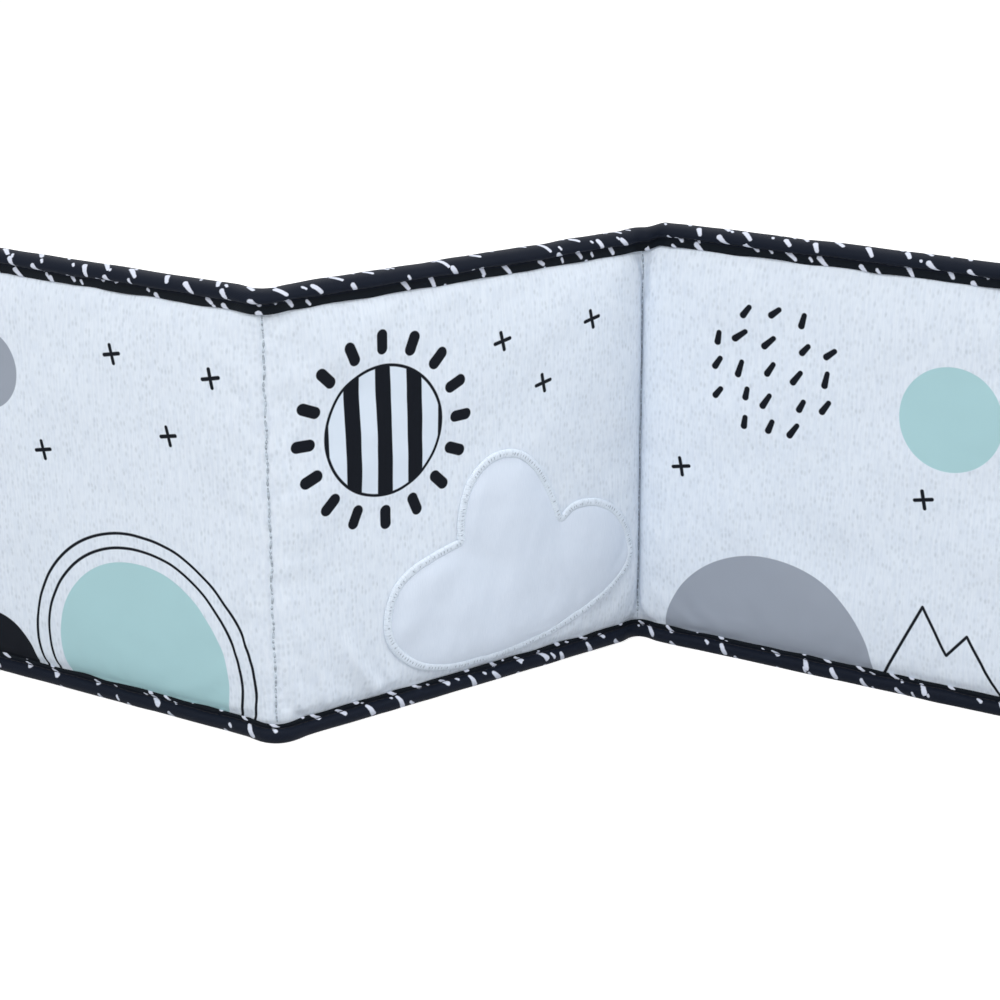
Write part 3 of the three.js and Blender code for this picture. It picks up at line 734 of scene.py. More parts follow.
def let_swell(name, s, z, level, held, slack, push):
    """How much each point of a grid of cloth rises from its level, when the cloth is cut larger by
    the slack, pinned where it is held and pushed up."""
    mesh = bpy.data.meshes.new(name)
    squares = grid_squares(np.arange(s.size).reshape(s.shape))
    mesh.from_pydata(np.stack([s, z, level], -1).reshape(-1, 3) * MM, [], squares.tolist())
    grid = bpy.data.objects.new(name, mesh)
    bpy.context.scene.collection.objects.link(grid)
    grid.vertex_groups.new(name="held").add(np.flatnonzero(held).tolist(), 1, "REPLACE")
    cloth = grid.modifiers.new("swell", "CLOTH")
    cloth.collision_settings.use_collision = False
    cloth.settings.vertex_group_mass = "held"
    cloth.settings.effector_weights.gravity = 0
    cloth.settings.use_pressure = True
    cloth.settings.uniform_pressure_force = push
    cloth.settings.shrink_min = -slack
    cloth.settings.quality = 6
    cloth.settings.bending_stiffness = 0.2
    cloth.settings.tension_stiffness = 30
    cloth.settings.compression_stiffness = 30
    cloth.settings.shear_stiffness = 10
    for moment in range(1, sim_frames + 1):
        bpy.context.scene.frame_set(moment)
    swollen = grid.evaluated_get(bpy.context.evaluated_depsgraph_get()).data
    points = np.empty(s.size * 3, np.float32)
    swollen.vertices.foreach_get("co", points)
    bpy.context.scene.frame_set(1)
    bpy.data.objects.remove(grid)
    rise = points.reshape(*s.shape, 3)[..., 2] / MM - level
    print(f"{name}: rises {rise.min():.1f} to {rise.max():.1f} mm")
    return rise


print(f"a cloth is simulated on a grid {sim_gap} mm apart, over {sim_frames} frames")

# %% Keep the puckers
mean_passes = 16  # the more of them, the wider the stretch that a local mean is taken over


def split(rise, held, limit, share):
    """The rise's local mean, held below a limit, and a share of its puckers, added up. The mean is
    taken by giving each point, again and again, the mean of itself and its four neighbours."""
    rise = np.where(held, 0, rise)
    mean = rise
    for _ in range(mean_passes):
        wide = np.pad(mean, 1, mode="edge")
        mean = (wide[1:-1, 1:-1] + wide[:-2, 1:-1] + wide[2:, 1:-1] + wide[1:-1, :-2] + wide[1:-1, 2:]) / 5
    return np.where(held, 0, limit * np.tanh(mean / limit) + share * (rise - mean))


def read_off(field, low_s, low_z, s, z):
    """The field of a simulated grid at any place: a smooth cubic B-spline over 4 by 4 of its points."""
    total = 0
    across, up = (s - low_s) / sim_gap, (z - low_z) / sim_gap
    row, column = np.floor(across).astype(int), np.floor(up).astype(int)
    weights = []
    for t in (across - row, up - column):
        weights.append([(1 - t) ** 3, 3 * t**3 - 6 * t**2 + 4, 1 + 3 * t + 3 * t**2 - 3 * t**3, t**3])
    for i in range(4):
        for j in range(4):
            at_row = np.clip(row + i - 1, 0, field.shape[0] - 1)
            at_column = np.clip(column + j - 1, 0, field.shape[1] - 1)
            total = total + field[at_row, at_column] * weights[0][i] * weights[1][j] / 36
    return total


step = read_off(np.array([[0], [6]]), 0, 0, np.arange(3), 0)
print("a step from 0 to 6, read off at its ends and half way:", np.round(step, 1))

# %% Let the pages swell
page_end = book_end - binding_height
sim_s, sim_z = np.meshgrid(
    np.arange(-page_end, page_end + sim_gap, sim_gap),
    np.arange(page_foot, page_top + sim_gap, sim_gap),
    indexing="ij",
)
pinned = (from_rim(sim_s, sim_z) < pressed_band + pin_reach) | (from_fold(sim_s) < sim_gap / 2)
sim_level = half_thickness(sim_s, sim_z)
page_rise = let_swell("page_cloth_grid", sim_s, sim_z, sim_level, pinned, slack=0.02, push=6)
page_rise = split(page_rise, pinned, limit=0.5, share=0.5)
print(f"kept of that: {page_rise.min():.2f} to {page_rise.max():.2f} mm")

# %% [markdown]
# ## Unevenness of the wadding
# Wadding is never even, stitches pull the cloth in, and cloth that has been folded keeps soft
# creases. Random waves, seeded so that every run is the same, give the first; sine ripples that die
# away from an edge give the second; and a few placed ridges give the third.

# %% Random waves
def waves(places, shortest, longest, seed, count=22):
    """Soft random unevenness of size about 1: sine waves of random length, direction and phase."""
    random = np.random.default_rng(seed)
    total = 0
    for _ in range(count):
        length = random.uniform(shortest, longest)
        direction = random.uniform(0, 2 * math.pi)
        shift = random.uniform(0, 2 * math.pi)
        heading = (math.cos(direction), math.sin(direction))
        along = sum(place * part for place, part in zip(places, heading))
        total = total + np.sin(2 * math.pi * along / length + shift)
    return total / math.sqrt(count / 2)


print("a wave at four places:", np.round(waves((np.arange(0, 40, 10), np.zeros(4)), 20, 40, seed=1), 2))

# %% Puckers, lumps, ripples and creases
seam_pitch = 2.9  # mm from needle hole to needle hole at the folds
ripple_height, ripple_reach = 0.09, 5  # mm, and how far from a fold the ripples die away
drift_lengths = (30, 70)  # mm from wave to wave of the ripples' own unevenness
lump_height, lump_lengths = 0.24, (22, 60)  # soft lumps of the wadding, and from how long to how long
dent_height, dent_lengths = 0.06, (9, 20)  # and small ones
lump_rim, lump_fold = 12, 10  # mm from the rim and from a fold over which both start
ease_rim, ease_fold = 3, 1.5  # and over which creases and ripples do
pucker_reach, far_puckers = 22, 0.35  # puckers die away from an edge to this share of their height
# Each crease: its two ends as (s, height above the page's foot), its own height at each, its width
creases = [
    ((-65, 36), (-58, 19), 0, 2.1, 3.4),
    ((-58, 19), (-47.5, 5), 2.1, 2.3, 3),
    ((-46, 19), (-39.5, 6), 0, 1.8, 2.2),
    ((-76.5, 31), (-69, 5), 0, 2.1, 2.8),
    ((-87, 28), (-81, 5), 0, 1.5, 2.6),
    ((-79, 15), (-76.5, 5), 0, 0.6, 1.5),
    ((-64, 14), (-61, 5), 0, 0.7, 1.5),
    ((-78, 150), (-60, 128), -0.7, -0.7, 7),
    ((96, 6), (112, 30), 1, 0, 5),
    ((-100, 60), (-118, 36), 0.6, 0.6, 7),
    ((150, 60), (182, 44), -0.7, -0.7, 9),
    ((half_page + 2.4, 164), (half_page + 2, 146), -1, -1, 2),
]


def relief(s, z, facing):
    """What lies on top of the even swell, in mm: simulated puckers, the wadding's waves and ripples by
    the seam, and placed creases. The back has the front's puckers the other way round."""
    rim = np.maximum(from_rim(s, z), 0)
    fold = from_fold(s)
    puckers = read_off(page_rise, sim_s[0, 0], sim_z[0, 0], -facing * s, z)
    near_edge = np.exp(-((np.minimum(rim, fold) / pucker_reach) ** 2))
    puckers = puckers * (far_puckers + (1 - far_puckers) * near_edge)
    lumps = lump_height * waves((s, z), *lump_lengths, seed=11 + facing)
    lumps = lumps + dent_height * waves((s, z), *dent_lengths, seed=17 + facing)
    drift = waves((s, z), *drift_lengths, seed=23 + facing, count=8)
    ripples = ripple_height * np.sin(2 * math.pi * z / seam_pitch + drift)
    ripples = ripples * np.exp(-fold / ripple_reach) * smooth(fold / ease_fold)
    placed = 0
    for start, end, first, last, width in creases if facing < 0 else ():
        run = np.subtract(end, start)
        across = (s - start[0], z - page_foot - start[1])
        share = np.clip((across[0] * run[0] + across[1] * run[1]) / (run @ run), 0, 1)
        reach = np.hypot(across[0] - share * run[0], across[1] - share * run[1])
        crease = (first + (last - first) * share) * np.exp(-((reach / width) ** 2))
        placed = np.where(np.abs(crease) > np.abs(placed), crease, placed)
    eased = smooth(rim / ease_rim) * smooth(fold / ease_fold)
    return puckers + ripples + smooth(rim / lump_rim) * smooth(fold / lump_fold) * lumps + eased * placed


def face_height(s, z, facing):
    """How far a page's face stands from its middle layer: at least the seam's height."""
    return np.maximum(half_thickness(s, z) + relief(s, z, facing), seam_half)


sample = relief(np.linspace(-240, 240, 400)[:, None], np.linspace(20, 160, 100)[None], -1)
print(f"relief from {sample.min():.2f} to {sample.max():.2f} mm")

# %% [markdown]
# ## The four cloths
# The real book has one long cloth in front and one behind, stitched through at both folds. A mesh can
# bend between two panels only, so each cloth is made in two halves that meet in the middle of the
# centre page, where neither moves against the other and their points are the same. Each half is a
# closed shell as thick as the cloth. Its grid lines bunch at the rim and the fold, where it curves.

# %% A grid over half the book
hem_tuck = 3.4  # the cloths reach this far into the binding
end_zone = 34  # the last stretch, whose lines lean into the rounded corners
near_fold, at_fold, near_rim = 14, 3, 13  # mm from a fold and from the rim where the spacing changes
# mm between grid lines in the middle of a page, near a fold, at it, near the rim and in the binding
page_gap, near_gap, fold_gap, rim_gap, hem_gap = 1.4, 0.6, 0.3, 0.65, 0.85
end_shares = ((0, 0.6, 0.045), (0.6, 1, 0.022))  # of the last stretch: from, to and spacing of its lines


def half_book_grid(side):
    """Rows along the book and columns up it; the rows of the last stretch follow the rounded end."""
    end = book_end - binding_height + hem_tuck
    start = end - end_zone
    before, after = half_page - near_fold, half_page + near_fold
    here, past = half_page - at_fold, half_page + at_fold
    rows = lines((0, before, page_gap), (before, here, near_gap), (here, past, fold_gap),
                 (past, after, near_gap), (after, start, page_gap))
    low, high = page_foot + near_rim, page_top - near_rim
    z = lines((page_foot - hem_tuck, page_foot, hem_gap), (page_foot, low, rim_gap), (low, high, page_gap),
              (high, page_top, rim_gap), (page_top, page_top + hem_tuck, hem_gap))
    radius = corner_radius + hem_tuck
    into_corner = radius - np.clip(np.minimum(z - z[0], z[-1] - z), 0, radius)
    rim = end - (radius - np.sqrt(radius**2 - into_corner**2))
    shares = lines(*end_shares)[1:, None]  # of the way to the rim
    s = np.concatenate([np.repeat(rows[:, None], len(z), 1), start + (rim - start) * shares])
    return side * s, np.broadcast_to(z, s.shape)


print("a half cloth's grid:", half_book_grid(1)[0].shape)

# %% Make the cloths
def cloth_half(name, side, facing, material):
    """A closed shell: the face stands at its height, the lining one cloth's thickness further in."""
    s, z = half_book_grid(side)
    outer = on_page(s, facing * face_height(s, z, facing), z)
    inner = on_page(s, facing * np.maximum(half_thickness(s, z) - cloth_thickness, clearance / 2), z)
    flat = np.stack([s, z], -1)
    return make(name, (np.stack([outer, inner]), shell_faces(*s.shape), np.stack([flat, flat]), material))


faces = ((-1, "front", page_cloth, "page_cloth"), (1, "back", back_cloth, "back_cloth"))
for facing, face, material, slot in faces:
    for side, panel in ((-1, "left"), (1, "right")):
        cloth = cloth_half(f"{face}_cloth_{panel}_half", side, facing, material)
        bend_at(cloth, side)
        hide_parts(f"{panel}_{face}_cover", f"centre_{face}_cover")

# %% [markdown]
# ## The wadding
# A batt of polyester fibre fills each page. It can't be seen, but it is what the cloths lie on, so
# each page has its own pad. The pad stops short of the folds, where the cloths are stitched together.

# %% Make a pad for each page
pad_edge = 9  # mm over which a pad's edge rounds off
pad_inset = 2  # mm from the binding
pad_edge_half = 0.05
pad_gap = 2.5  # mm between its grid's lines


def pad(panel, low, high):
    """Two faces just inside the cloths, whose gap closes as a quarter circle towards the pad's edge."""
    heights = lines((page_foot + pad_inset, page_top - pad_inset, pad_gap))
    s, z = np.meshgrid(lines((low, high, pad_gap)), heights, indexing="ij")
    edge = np.minimum(np.minimum(s - low, high - s), np.minimum(z - z.min(), z.max() - z))
    round_off = np.sqrt(1 - (1 - np.clip(edge / pad_edge, 0, 1)) ** 2)
    full = half_thickness(s, z) - cloth_thickness - clearance
    half = pad_edge_half + round_off * (full - pad_edge_half)
    flat = np.stack([s, z], -1)
    faces = np.stack([on_page(s, -half, z), on_page(s, half, z)])
    return make(f"{panel}_pad", (faces, shell_faces(*s.shape), np.stack([flat, flat]), wadding))


pad_end = book_end - binding_height - pad_inset
for panel, low, high in (
    ("left", -pad_end, -half_page - fold_zone),
    ("centre", fold_zone - half_page, half_page - fold_zone),
    ("right", half_page + fold_zone, pad_end),
):
    filling = pad(panel, low, high)
    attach(filling, f"{panel}_panel")
    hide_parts(f"{panel}_wadding")

# %% [markdown]
# ## The binding
# One black tape goes round the whole book. A flat strip grips the pages' hems, a line of stitches
# draws it in, and above the stitches it is rolled over a filling. So the shape is one section, and
# the path is a rectangle with round corners. The path is written as a pivot and an angle: along a
# straight run the pivot travels and the angle holds, round a corner the angle turns and the pivot
# holds. Sewing by hand is never quite even, so slow waves go along the tape.

# %% The tape's section
# Rises are from the page's edge outwards, and halves are from the tape's middle layer, all in mm
stitch_line = 4
waist_half = 2.45  # at the stitches
roll_half = 5
roll_undercut = 1.7  # the roll is widest this far above the stitches
tape_thickness = 0.5
slot_half = hem_half + clearance  # the slot between the strip's two sides holds the page's hem
slot_foot = 1  # the slot's wall starts this far above the middle of the strip's turned edge
face_foot = 0.9  # and the strip's face starts at this rise
strip_outer = slot_half + tape_thickness
strip_belly = 0.12
waist_run = 1.3  # the strip draws in to the waist over this


def arc(centre, radii, start, stop, count):
    """Points on an ellipse: centre + (width cos angle, height sin angle), angles in degrees."""
    angle = np.radians(np.linspace(start, stop, count))
    return np.stack([centre[0] + radii[0] * np.cos(angle), centre[1] + radii[1] * np.sin(angle)], -1)


def tape_section():
    """Offset and rise round the section, from the slot's bottom round the roll and back."""
    edge_radius = tape_thickness / 2
    slot_wall = np.array([(slot_half, hem_tuck + clearance), (slot_half, edge_radius + slot_foot)])
    turned_edge = arc((slot_half + edge_radius, edge_radius), (edge_radius, edge_radius), 180, 350, 6)
    rise = np.linspace(face_foot, stitch_line, 9)
    face = strip_outer + strip_belly * np.sin(math.pi * rise / stitch_line)
    face = face - (strip_outer - waist_half) * smooth((rise - stitch_line + waist_run) / waist_run)
    widest = stitch_line + roll_undercut
    tuck = np.radians(np.linspace(15, 75, 5))
    undercut_half = waist_half + (roll_half - waist_half) * np.sin(tuck)
    undercut = np.stack([undercut_half, widest - roll_undercut * np.cos(tuck)], -1)
    roll = arc((0, widest), (roll_half, binding_height - widest), 0, 90, 10)
    half = np.concatenate([slot_wall, turned_edge, np.stack([face, rise], -1), undercut, roll])
    return np.concatenate([half, half[-2::-1] * (-1, 1)])


section = tape_section()
around = np.concatenate([[0], np.cumsum(np.linalg.norm(np.diff(section, axis=0), axis=1))])
print(f"section: {len(section)} points, {around[-1]:.1f} mm round")

# %% The tape's path
bend_run = (corner_radius + binding_height / 2) * math.pi / 2
pivot_s = book_end - binding_height - corner_radius
pivot_high, pivot_low = page_top - corner_radius, page_foot + corner_radius
# Breakpoints clockwise from the top left: run to the next one, then pivot s, pivot z, angle in degrees
stops = [
    (2 * pivot_s, -pivot_s, pivot_high, 90),
    (bend_run, pivot_s, pivot_high, 90),
    (pivot_high - pivot_low, pivot_s, pivot_high, 0),
    (bend_run, pivot_s, pivot_low, 0),
    (2 * pivot_s, pivot_s, pivot_low, -90),
    (bend_run, -pivot_s, pivot_low, -90),
    (pivot_high - pivot_low, -pivot_s, pivot_low, -180),
    (bend_run, -pivot_s, pivot_high, -180),
    (0, -pivot_s, pivot_high, -270),
]
runs, stop_s, stop_z, stop_angle = np.array(stops, float).T
stop_at = np.concatenate([[0], np.cumsum(runs)[:-1]])
loop_length = stop_at[-1]


def along_loop(length, seed, count=12, shortest=18, longest=70):
    """A slow random wave along the tape, of size about 1, which closes on itself round the loop."""
    random = np.random.default_rng(seed)
    turns = np.round(loop_length / random.uniform(shortest, longest, count))
    shifts = random.uniform(0, 2 * math.pi, count)
    total = sum(np.sin(2 * math.pi * t * length / loop_length + shift) for t, shift in zip(turns, shifts))
    return total / math.sqrt(count / 2)


print(f"tape: {loop_length:.0f} mm of it round the book")

# %% A point of the tape
# Sizes in mm, each with the rise over which it fades out or comes in
stitch_pitch = 3.2
stitch_pull, pull_fade = 0.16, 0.9  # each stitch draws the groove in
groove_wander, groove_fade = 0.16, 1.6  # the line of stitches wanders up and down
edge_wander, edge_fade = 0.13, 2.5  # and so does the strip's edge
roll_wander, crest_start, crest_run = 0.1, 1, 3  # and the roll, from a start above the stitches
roll_uneven, fat_run = 0.018, 2  # the roll is fatter or thinner by this share
foot_push = 1.8  # under the book's weight the roll rides up over the strip by this much


def tape_point(length, offset, rise):
    """Place in space of a point of the tape. The strip's edge and the groove wander a little, the roll
    is fatter here and thinner there, each stitch pulls the groove in, and the floor presses it flat."""
    angle = np.radians(np.interp(length, stop_at, stop_angle))
    above = rise - stitch_line
    in_groove = np.exp(-((above / pull_fade) ** 2))
    pull = stitch_pull * in_groove * (0.5 + 0.5 * np.cos(2 * math.pi * length / stitch_pitch))
    fat = 1 + roll_uneven * along_loop(length, seed=37) * smooth(above / fat_run)
    offset = np.sign(offset) * np.maximum(np.abs(offset) * fat - pull, 0)
    share_up = np.clip((binding_height - rise) / (binding_height - stitch_line), 0, 1)
    pushed = smooth(rise / stitch_line) * share_up
    edge_wave = along_loop(length, seed=41, shortest=11, longest=40)
    edge = edge_wander * edge_wave * (1 - smooth(rise / edge_fade))
    wander = groove_wander * along_loop(length, seed=31) * np.exp(-((above / groove_fade) ** 2))
    crest = roll_wander * along_loop(length, seed=43) * smooth((above - crest_start) / crest_run)
    rise = rise + edge + wander + crest - foot_push * np.maximum(-np.sin(angle), 0) ** 2 * pushed
    s = np.interp(length, stop_at, stop_s) + (corner_radius + rise) * np.cos(angle)
    z = np.interp(length, stop_at, stop_z) + (corner_radius + rise) * np.sin(angle)
    place = book(s, offset, z, binding_bend)
    place[..., 2] = np.maximum(place[..., 2], 0)
    return place


print("top of the binding, mid-book:", np.round(tape_point(pivot_s, 0, binding_height), 1))

# %% [markdown]
# The stitches are one thread in each face's groove. It stands proud between two needle holes and
# dives at each hole, so its height is the size of a sine, and its own radius shrinks with it.

# %% A sewn thread
tape_gap, thread_gap = 0.8, 0.4  # mm between stations of the tape and of its thread
thread_radius, thread_rise = 0.12, 0.16  # mm at a needle hole, and how much thicker and prouder mid-stitch
thread_sunk, thread_end = 0.1, 0.5  # mm that it sinks into the tape, and that it stops short of its ends


def stitch_lift(length, pitch):
    """1 in the middle of each stitch and 0 at each needle hole: the square root of a sine's size."""
    return np.sqrt(np.abs(np.sin(math.pi * length / pitch)))


def tape_piece(name, start, stop):
    """A stretch of the tape between two lengths along its path, with the thread in both its grooves."""
    length = lines((start, stop, tape_gap))[:, None]
    flat = np.stack(np.broadcast_arrays(length, around - around[-1] / 2), -1)
    points = tape_point(length, section[:, 0], section[:, 1])
    parts = [(points, carried_faces(len(length), len(section)), flat, tape_cloth)]
    at = lines((start + thread_end, stop - thread_end, thread_gap))[:, None]
    turn = np.radians(np.arange(0, 360, 60))
    lift = stitch_lift(at, stitch_pitch)
    radius = thread_radius + thread_rise * lift
    thread_flat = np.stack(np.broadcast_arrays(at, turn), -1)
    thread_faces = carried_faces(len(at), len(turn))
    for side in (-1, 1):
        offset = side * (waist_half - thread_sunk + thread_rise * lift + radius * np.cos(turn))
        thread = tape_point(at, offset, stitch_line + radius * np.sin(turn))
        parts.append((thread, thread_faces, thread_flat, black_thread))
    return make(name, *parts)


print("a stitch's lift over its length:", np.round(stitch_lift(np.linspace(0, 1, 5), 1), 2))

# %% Make the binding
def top_at(s):
    """Length along the tape of a place on the top run."""
    return s + pivot_s


def bottom_at(s):
    """Length along the tape of a place on the bottom run, which goes back from right to left."""
    return stop_at[4] + pivot_s - s


bounds_of = {
    "left": (-pivot_s, -half_page - fold_zone),
    "left_fold": (-half_page - fold_zone, -half_page + fold_zone),
    "centre": (-half_page + fold_zone, half_page - fold_zone),
    "right_fold": (half_page - fold_zone, half_page + fold_zone),
    "right": (half_page + fold_zone, pivot_s),
}
stretches = {f"{part}_top": tuple(map(top_at, ends)) for part, ends in bounds_of.items()}
stretches |= {f"{part}_bottom": tuple(map(bottom_at, ends[::-1])) for part, ends in bounds_of.items()}
stretches |= {"right_end": (stop_at[1], stop_at[4]), "left_end": (stop_at[5], stop_at[8])}
for part, (start, stop) in stretches.items():
    tape = tape_piece(f"{part}_tape", start, stop)
    if "fold" in part:
        bend_at(tape, -1 if part.startswith("left") else 1)
    else:
        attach(tape, part.split("_")[0] + "_panel")
    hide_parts(f"{part}_binding")
print(f"binding: {len(stretches)} stretches")

# %% [markdown]
# ## The stitched folds
# Each fold is a line of grey stitches through both cloths. A thread runs down the front and another
# down the back, and both dive into the same needle holes, which is how a lockstitch is made.

# %% Stitch the folds
seam_radius = 0.34  # mm, of a thread
seam_thin = 0.35  # share of it that is left at a needle hole
seam_proud = 0.25  # mm that it stands out over the seam mid-stitch
seam_wander, seam_wander_lengths = 0.15, (8, 40)  # mm from side to side, and from wave to wave
stitch_uneven, uneven_lengths = 0.7, (9, 22)  # mm by which a needle hole is out of its place
seam_gap = 0.35  # mm between stations of a thread


def seam_threads(name, side):
    """Two threads on a fold's axis, one for each face, each standing proud by its stitch's lift. They
    wander a little from side to side, a thread is thinner where it dives, and no two stitches are of
    one length."""
    z = lines((page_foot + clearance, page_top - clearance, seam_gap))[:, None]
    turn = np.radians(np.arange(0, 360, 45))
    shift = stitch_uneven * waves((z, side * z), *uneven_lengths, seed=71, count=6)
    lift = stitch_lift(z + shift, seam_pitch)
    radius = seam_radius * (seam_thin + (1 - seam_thin) * lift)
    drift = seam_wander * waves((z, side * z), *seam_wander_lengths, seed=67, count=8)
    parts = []
    for facing in (-1, 1):
        y = facing * (lift * (seam_half + seam_proud) + radius * np.cos(turn))
        s = side * half_page + drift + radius * np.sin(turn)
        points = on_page(s, y, z + 0 * turn)
        flat = np.stack([y, z + 0 * y], -1)
        parts.append((points, carried_faces(len(z), len(turn)), flat, seam_thread))
    return make(name, *parts)


for side, fold in ((-1, "left_fold"), (1, "right_fold")):
    seam = seam_threads(f"{fold}_stitches", side)
    bend_at(seam, side)
    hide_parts(f"{fold}_seam")

# %% [markdown]
# ## The cloud
# A satin cloud is sewn on the centre page with a dense zigzag border. Its outline is two smooth curves
# that meet in two notches. At a notch the border's inward direction has to swing round, so the
# outline is kept as points and directions, and there the point holds while the direction turns.

# %% The cloud's outline
# Points on each curve, clockwise, as (s from the right fold, height above the page's foot): the tall
# lobe, then the low lobe beside the fold, the long foot and the left end
cloud_curves = [
    [(-99.6, 59.8), (-99.3, 69), (-96.6, 79.3), (-91, 87.3), (-83.2, 92.4), (-74.8, 93.4), (-66.2, 90.7),
     (-57.4, 82.3), (-50.9, 70.9), (-46.5, 59.6)],
    [(-46.5, 59.6), (-41.5, 63), (-34.5, 63.8), (-26, 62), (-17.5, 57.2), (-11.2, 49.8), (-7.4, 41.5),
     (-6.2, 33), (-9.8, 25.5), (-20, 17.6), (-36, 10.6), (-52.8, 5.4), (-70, 2.3), (-90, 1.6), (-104, 2.8),
     (-118, 7.2), (-128.5, 15.5), (-134.2, 25.5), (-134.3, 36.5), (-130, 46.8), (-121.5, 53.4),
     (-110.5, 57.2), (-99.6, 59.8)],
]
outline_step = thread_pitch / 6


def smooth_through(knots):
    """Evenly spaced points on a cubic through the knots: at each knot it heads from the one before to
    the one after."""
    heading = np.gradient(knots, axis=0)
    t = np.linspace(0, 1, 50)[:-1, None]
    points = []
    for here, there, leave, arrive in zip(knots, knots[1:], heading, heading[1:]):
        near = (1 + 2 * t) * (1 - t) ** 2 * here + t * (1 - t) ** 2 * leave
        points.append(near + t**2 * (3 - 2 * t) * there - t**2 * (1 - t) * arrive)
    points = np.concatenate([*points, knots[-1:]])
    length = np.append(0, np.cumsum(np.linalg.norm(np.diff(points, axis=0), axis=1)))
    even = np.linspace(0, length[-1], round(length[-1] / outline_step) + 1)
    return np.stack([np.interp(even, length, column) for column in points.T], -1)


def cloud_outline():
    """Points (s, z) round the cloud, the inward direction's angle at each, and the length so far, drawn
    out a little so that a whole number of threads goes round."""
    curves = [smooth_through(np.array(knots) + (half_page, page_foot)) for knots in cloud_curves]
    headings = [np.gradient(curve, axis=0) for curve in curves]
    inwards = [np.unwrap(np.arctan2(ahead[:, 1], ahead[:, 0])) - math.pi / 2 for ahead in headings]
    points, angles = [], []
    for curve, inward, next_inward in zip(curves, inwards, inwards[1:] + inwards[:1]):
        swing = (next_inward[0] - inward[-1] + math.pi) % (2 * math.pi) - math.pi
        turns = round(abs(swing) * border_width / 2 / outline_step)
        points += [curve, np.repeat(curve[-1:], turns, 0)]
        angles += [inward, inward[-1] + swing * np.linspace(0, 1, turns + 2)[1:-1]]
    points, angles = np.concatenate(points), np.concatenate(angles)
    swings = (np.diff(angles, append=angles[0]) + math.pi) % (2 * math.pi) - math.pi
    strides = np.linalg.norm(np.diff(points, axis=0, append=points[:1]), axis=1)
    steps = np.hypot(strides, swings * border_width / 2)
    whole = round(steps.sum() / thread_pitch) * thread_pitch
    return points, angles, np.cumsum(steps) * whole / steps.sum()


cloud_edge, cloud_inward, cloud_run = cloud_outline()
print(f"cloud outline: {len(cloud_edge)} points, {cloud_run[-1]:.0f} mm round")

# %% Lay a piece on the front of the page
taper_reach = 30  # beside a fold the cloud thins out, so that the pages can close on it
tapered_share = 0.45


def on_front(spot, rise):
    """Place in space of a point that stands rise above the front cloth at spot, an array of (s, z)."""
    s, z = spot[..., 0], spot[..., 1]
    taper = tapered_share + (1 - tapered_share) * smooth(from_fold(s) / taper_reach)
    return on_page(s, -(face_height(s, z, -1) + taper * rise), z)


def inside_cloud(distance):
    """Points that lie a distance inwards from the outline, one for each station and each distance."""
    direction = np.stack([np.cos(cloud_inward), np.sin(cloud_inward)], -1)
    return cloud_edge[:, None] + direction[:, None] * distance[..., None]


print("a point 1 mm above the cloud's foot:", np.round(on_front(cloud_edge[0], 1), 1))

# %% [markdown]
# The border is a dome-shaped band. Its threads are ridges across it that lean one way and then the
# other, and they make its two edges slightly toothed.

# %% Make the border
border_rise = 1.3
band_edge = 0.12  # mm above the cloth at its two edges
thread_relief = 0.08  # mm that each of its threads stands out
thread_lean = 0.4  # threads: at the edges a thread has moved on by this, in the middle not at all
thread_stray, stray_lengths = 0.6, (1.1, 3)  # radians that it strays by, in waves from 1.1 to 3 mm long
stray_rise = 0.05  # mm that it strays up and down for each radian
tooth = 0.09  # mm by which its edges are toothed
under = 0.15  # mm that its underside sinks into the cloth
dome_power = 2.6


def border_band():
    """A band across v = 0 to 1, with a ridge for each thread. Its dome is the root of 1 - |2v - 1|^power:
    at a power of 2 it would be half an ellipse, and above that its top is flatter."""
    top = np.linspace(0, 1, 15)
    v = np.concatenate([top, [0.75, 0.25]])  # and two points underneath
    run = cloud_run[:, None]
    thread = np.cos(2 * math.pi * (run / thread_pitch + thread_lean * np.abs(2 * v - 1)))
    stray = thread_stray * waves((run, 0 * v), *stray_lengths, seed=53, count=8)
    teeth = tooth * np.cos(2 * math.pi * run / thread_pitch + stray) * np.sign(2 * v - 1)
    dome = np.sqrt(np.maximum(1 - np.abs(2 * v - 1) ** dome_power, 0))
    middle_rise = border_rise - (band_edge + thread_relief)
    rise = band_edge + dome * (middle_rise + thread_relief * thread + stray_rise * stray)
    rise[:, len(top):] = -under
    spots = inside_cloud(border_width * v + teeth)
    flat = np.stack(np.broadcast_arrays(run, border_width * v), -1)
    return on_front(spots, rise), carried_faces(*rise.shape, closed=True), flat, border_thread


border = make("cloud_zigzag_border", border_band())
bend_at(border, 1)
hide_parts("cloud_border")

# %% [markdown]
# The satin starts under the border and rises from it like a low pillow. Rings of points go from the
# underside's middle out to the edge and back over the top to the middle, so the patch is closed.

# %% Make the satin patch
patch_inset = 2.4  # mm from the border's outer edge, so that the satin's edge is hidden under it
patch_edge = 0.3  # mm above the cloth at its edge
patch_under = 0.05  # and on its underside
patch_puff, puff_reach, puff_power = 2, 20, 2  # mm above it in the middle, and how far in it has risen
patch_swell = 0.6  # and the most that the simulation adds
patch_ease, ease_lengths = 0.25, (18, 45)  # mm of slow unevenness, and from wave to wave of it
ease_reach = 10  # mm from the rim over which it starts
rim_stride = 8  # the satin's rim has every eighth point of the border
middle_drop = 8  # mm that its middle point lies below the outline's centre
ring_count, innermost_share = 70, 0.02  # rings on top, and the smallest one's share of the rim


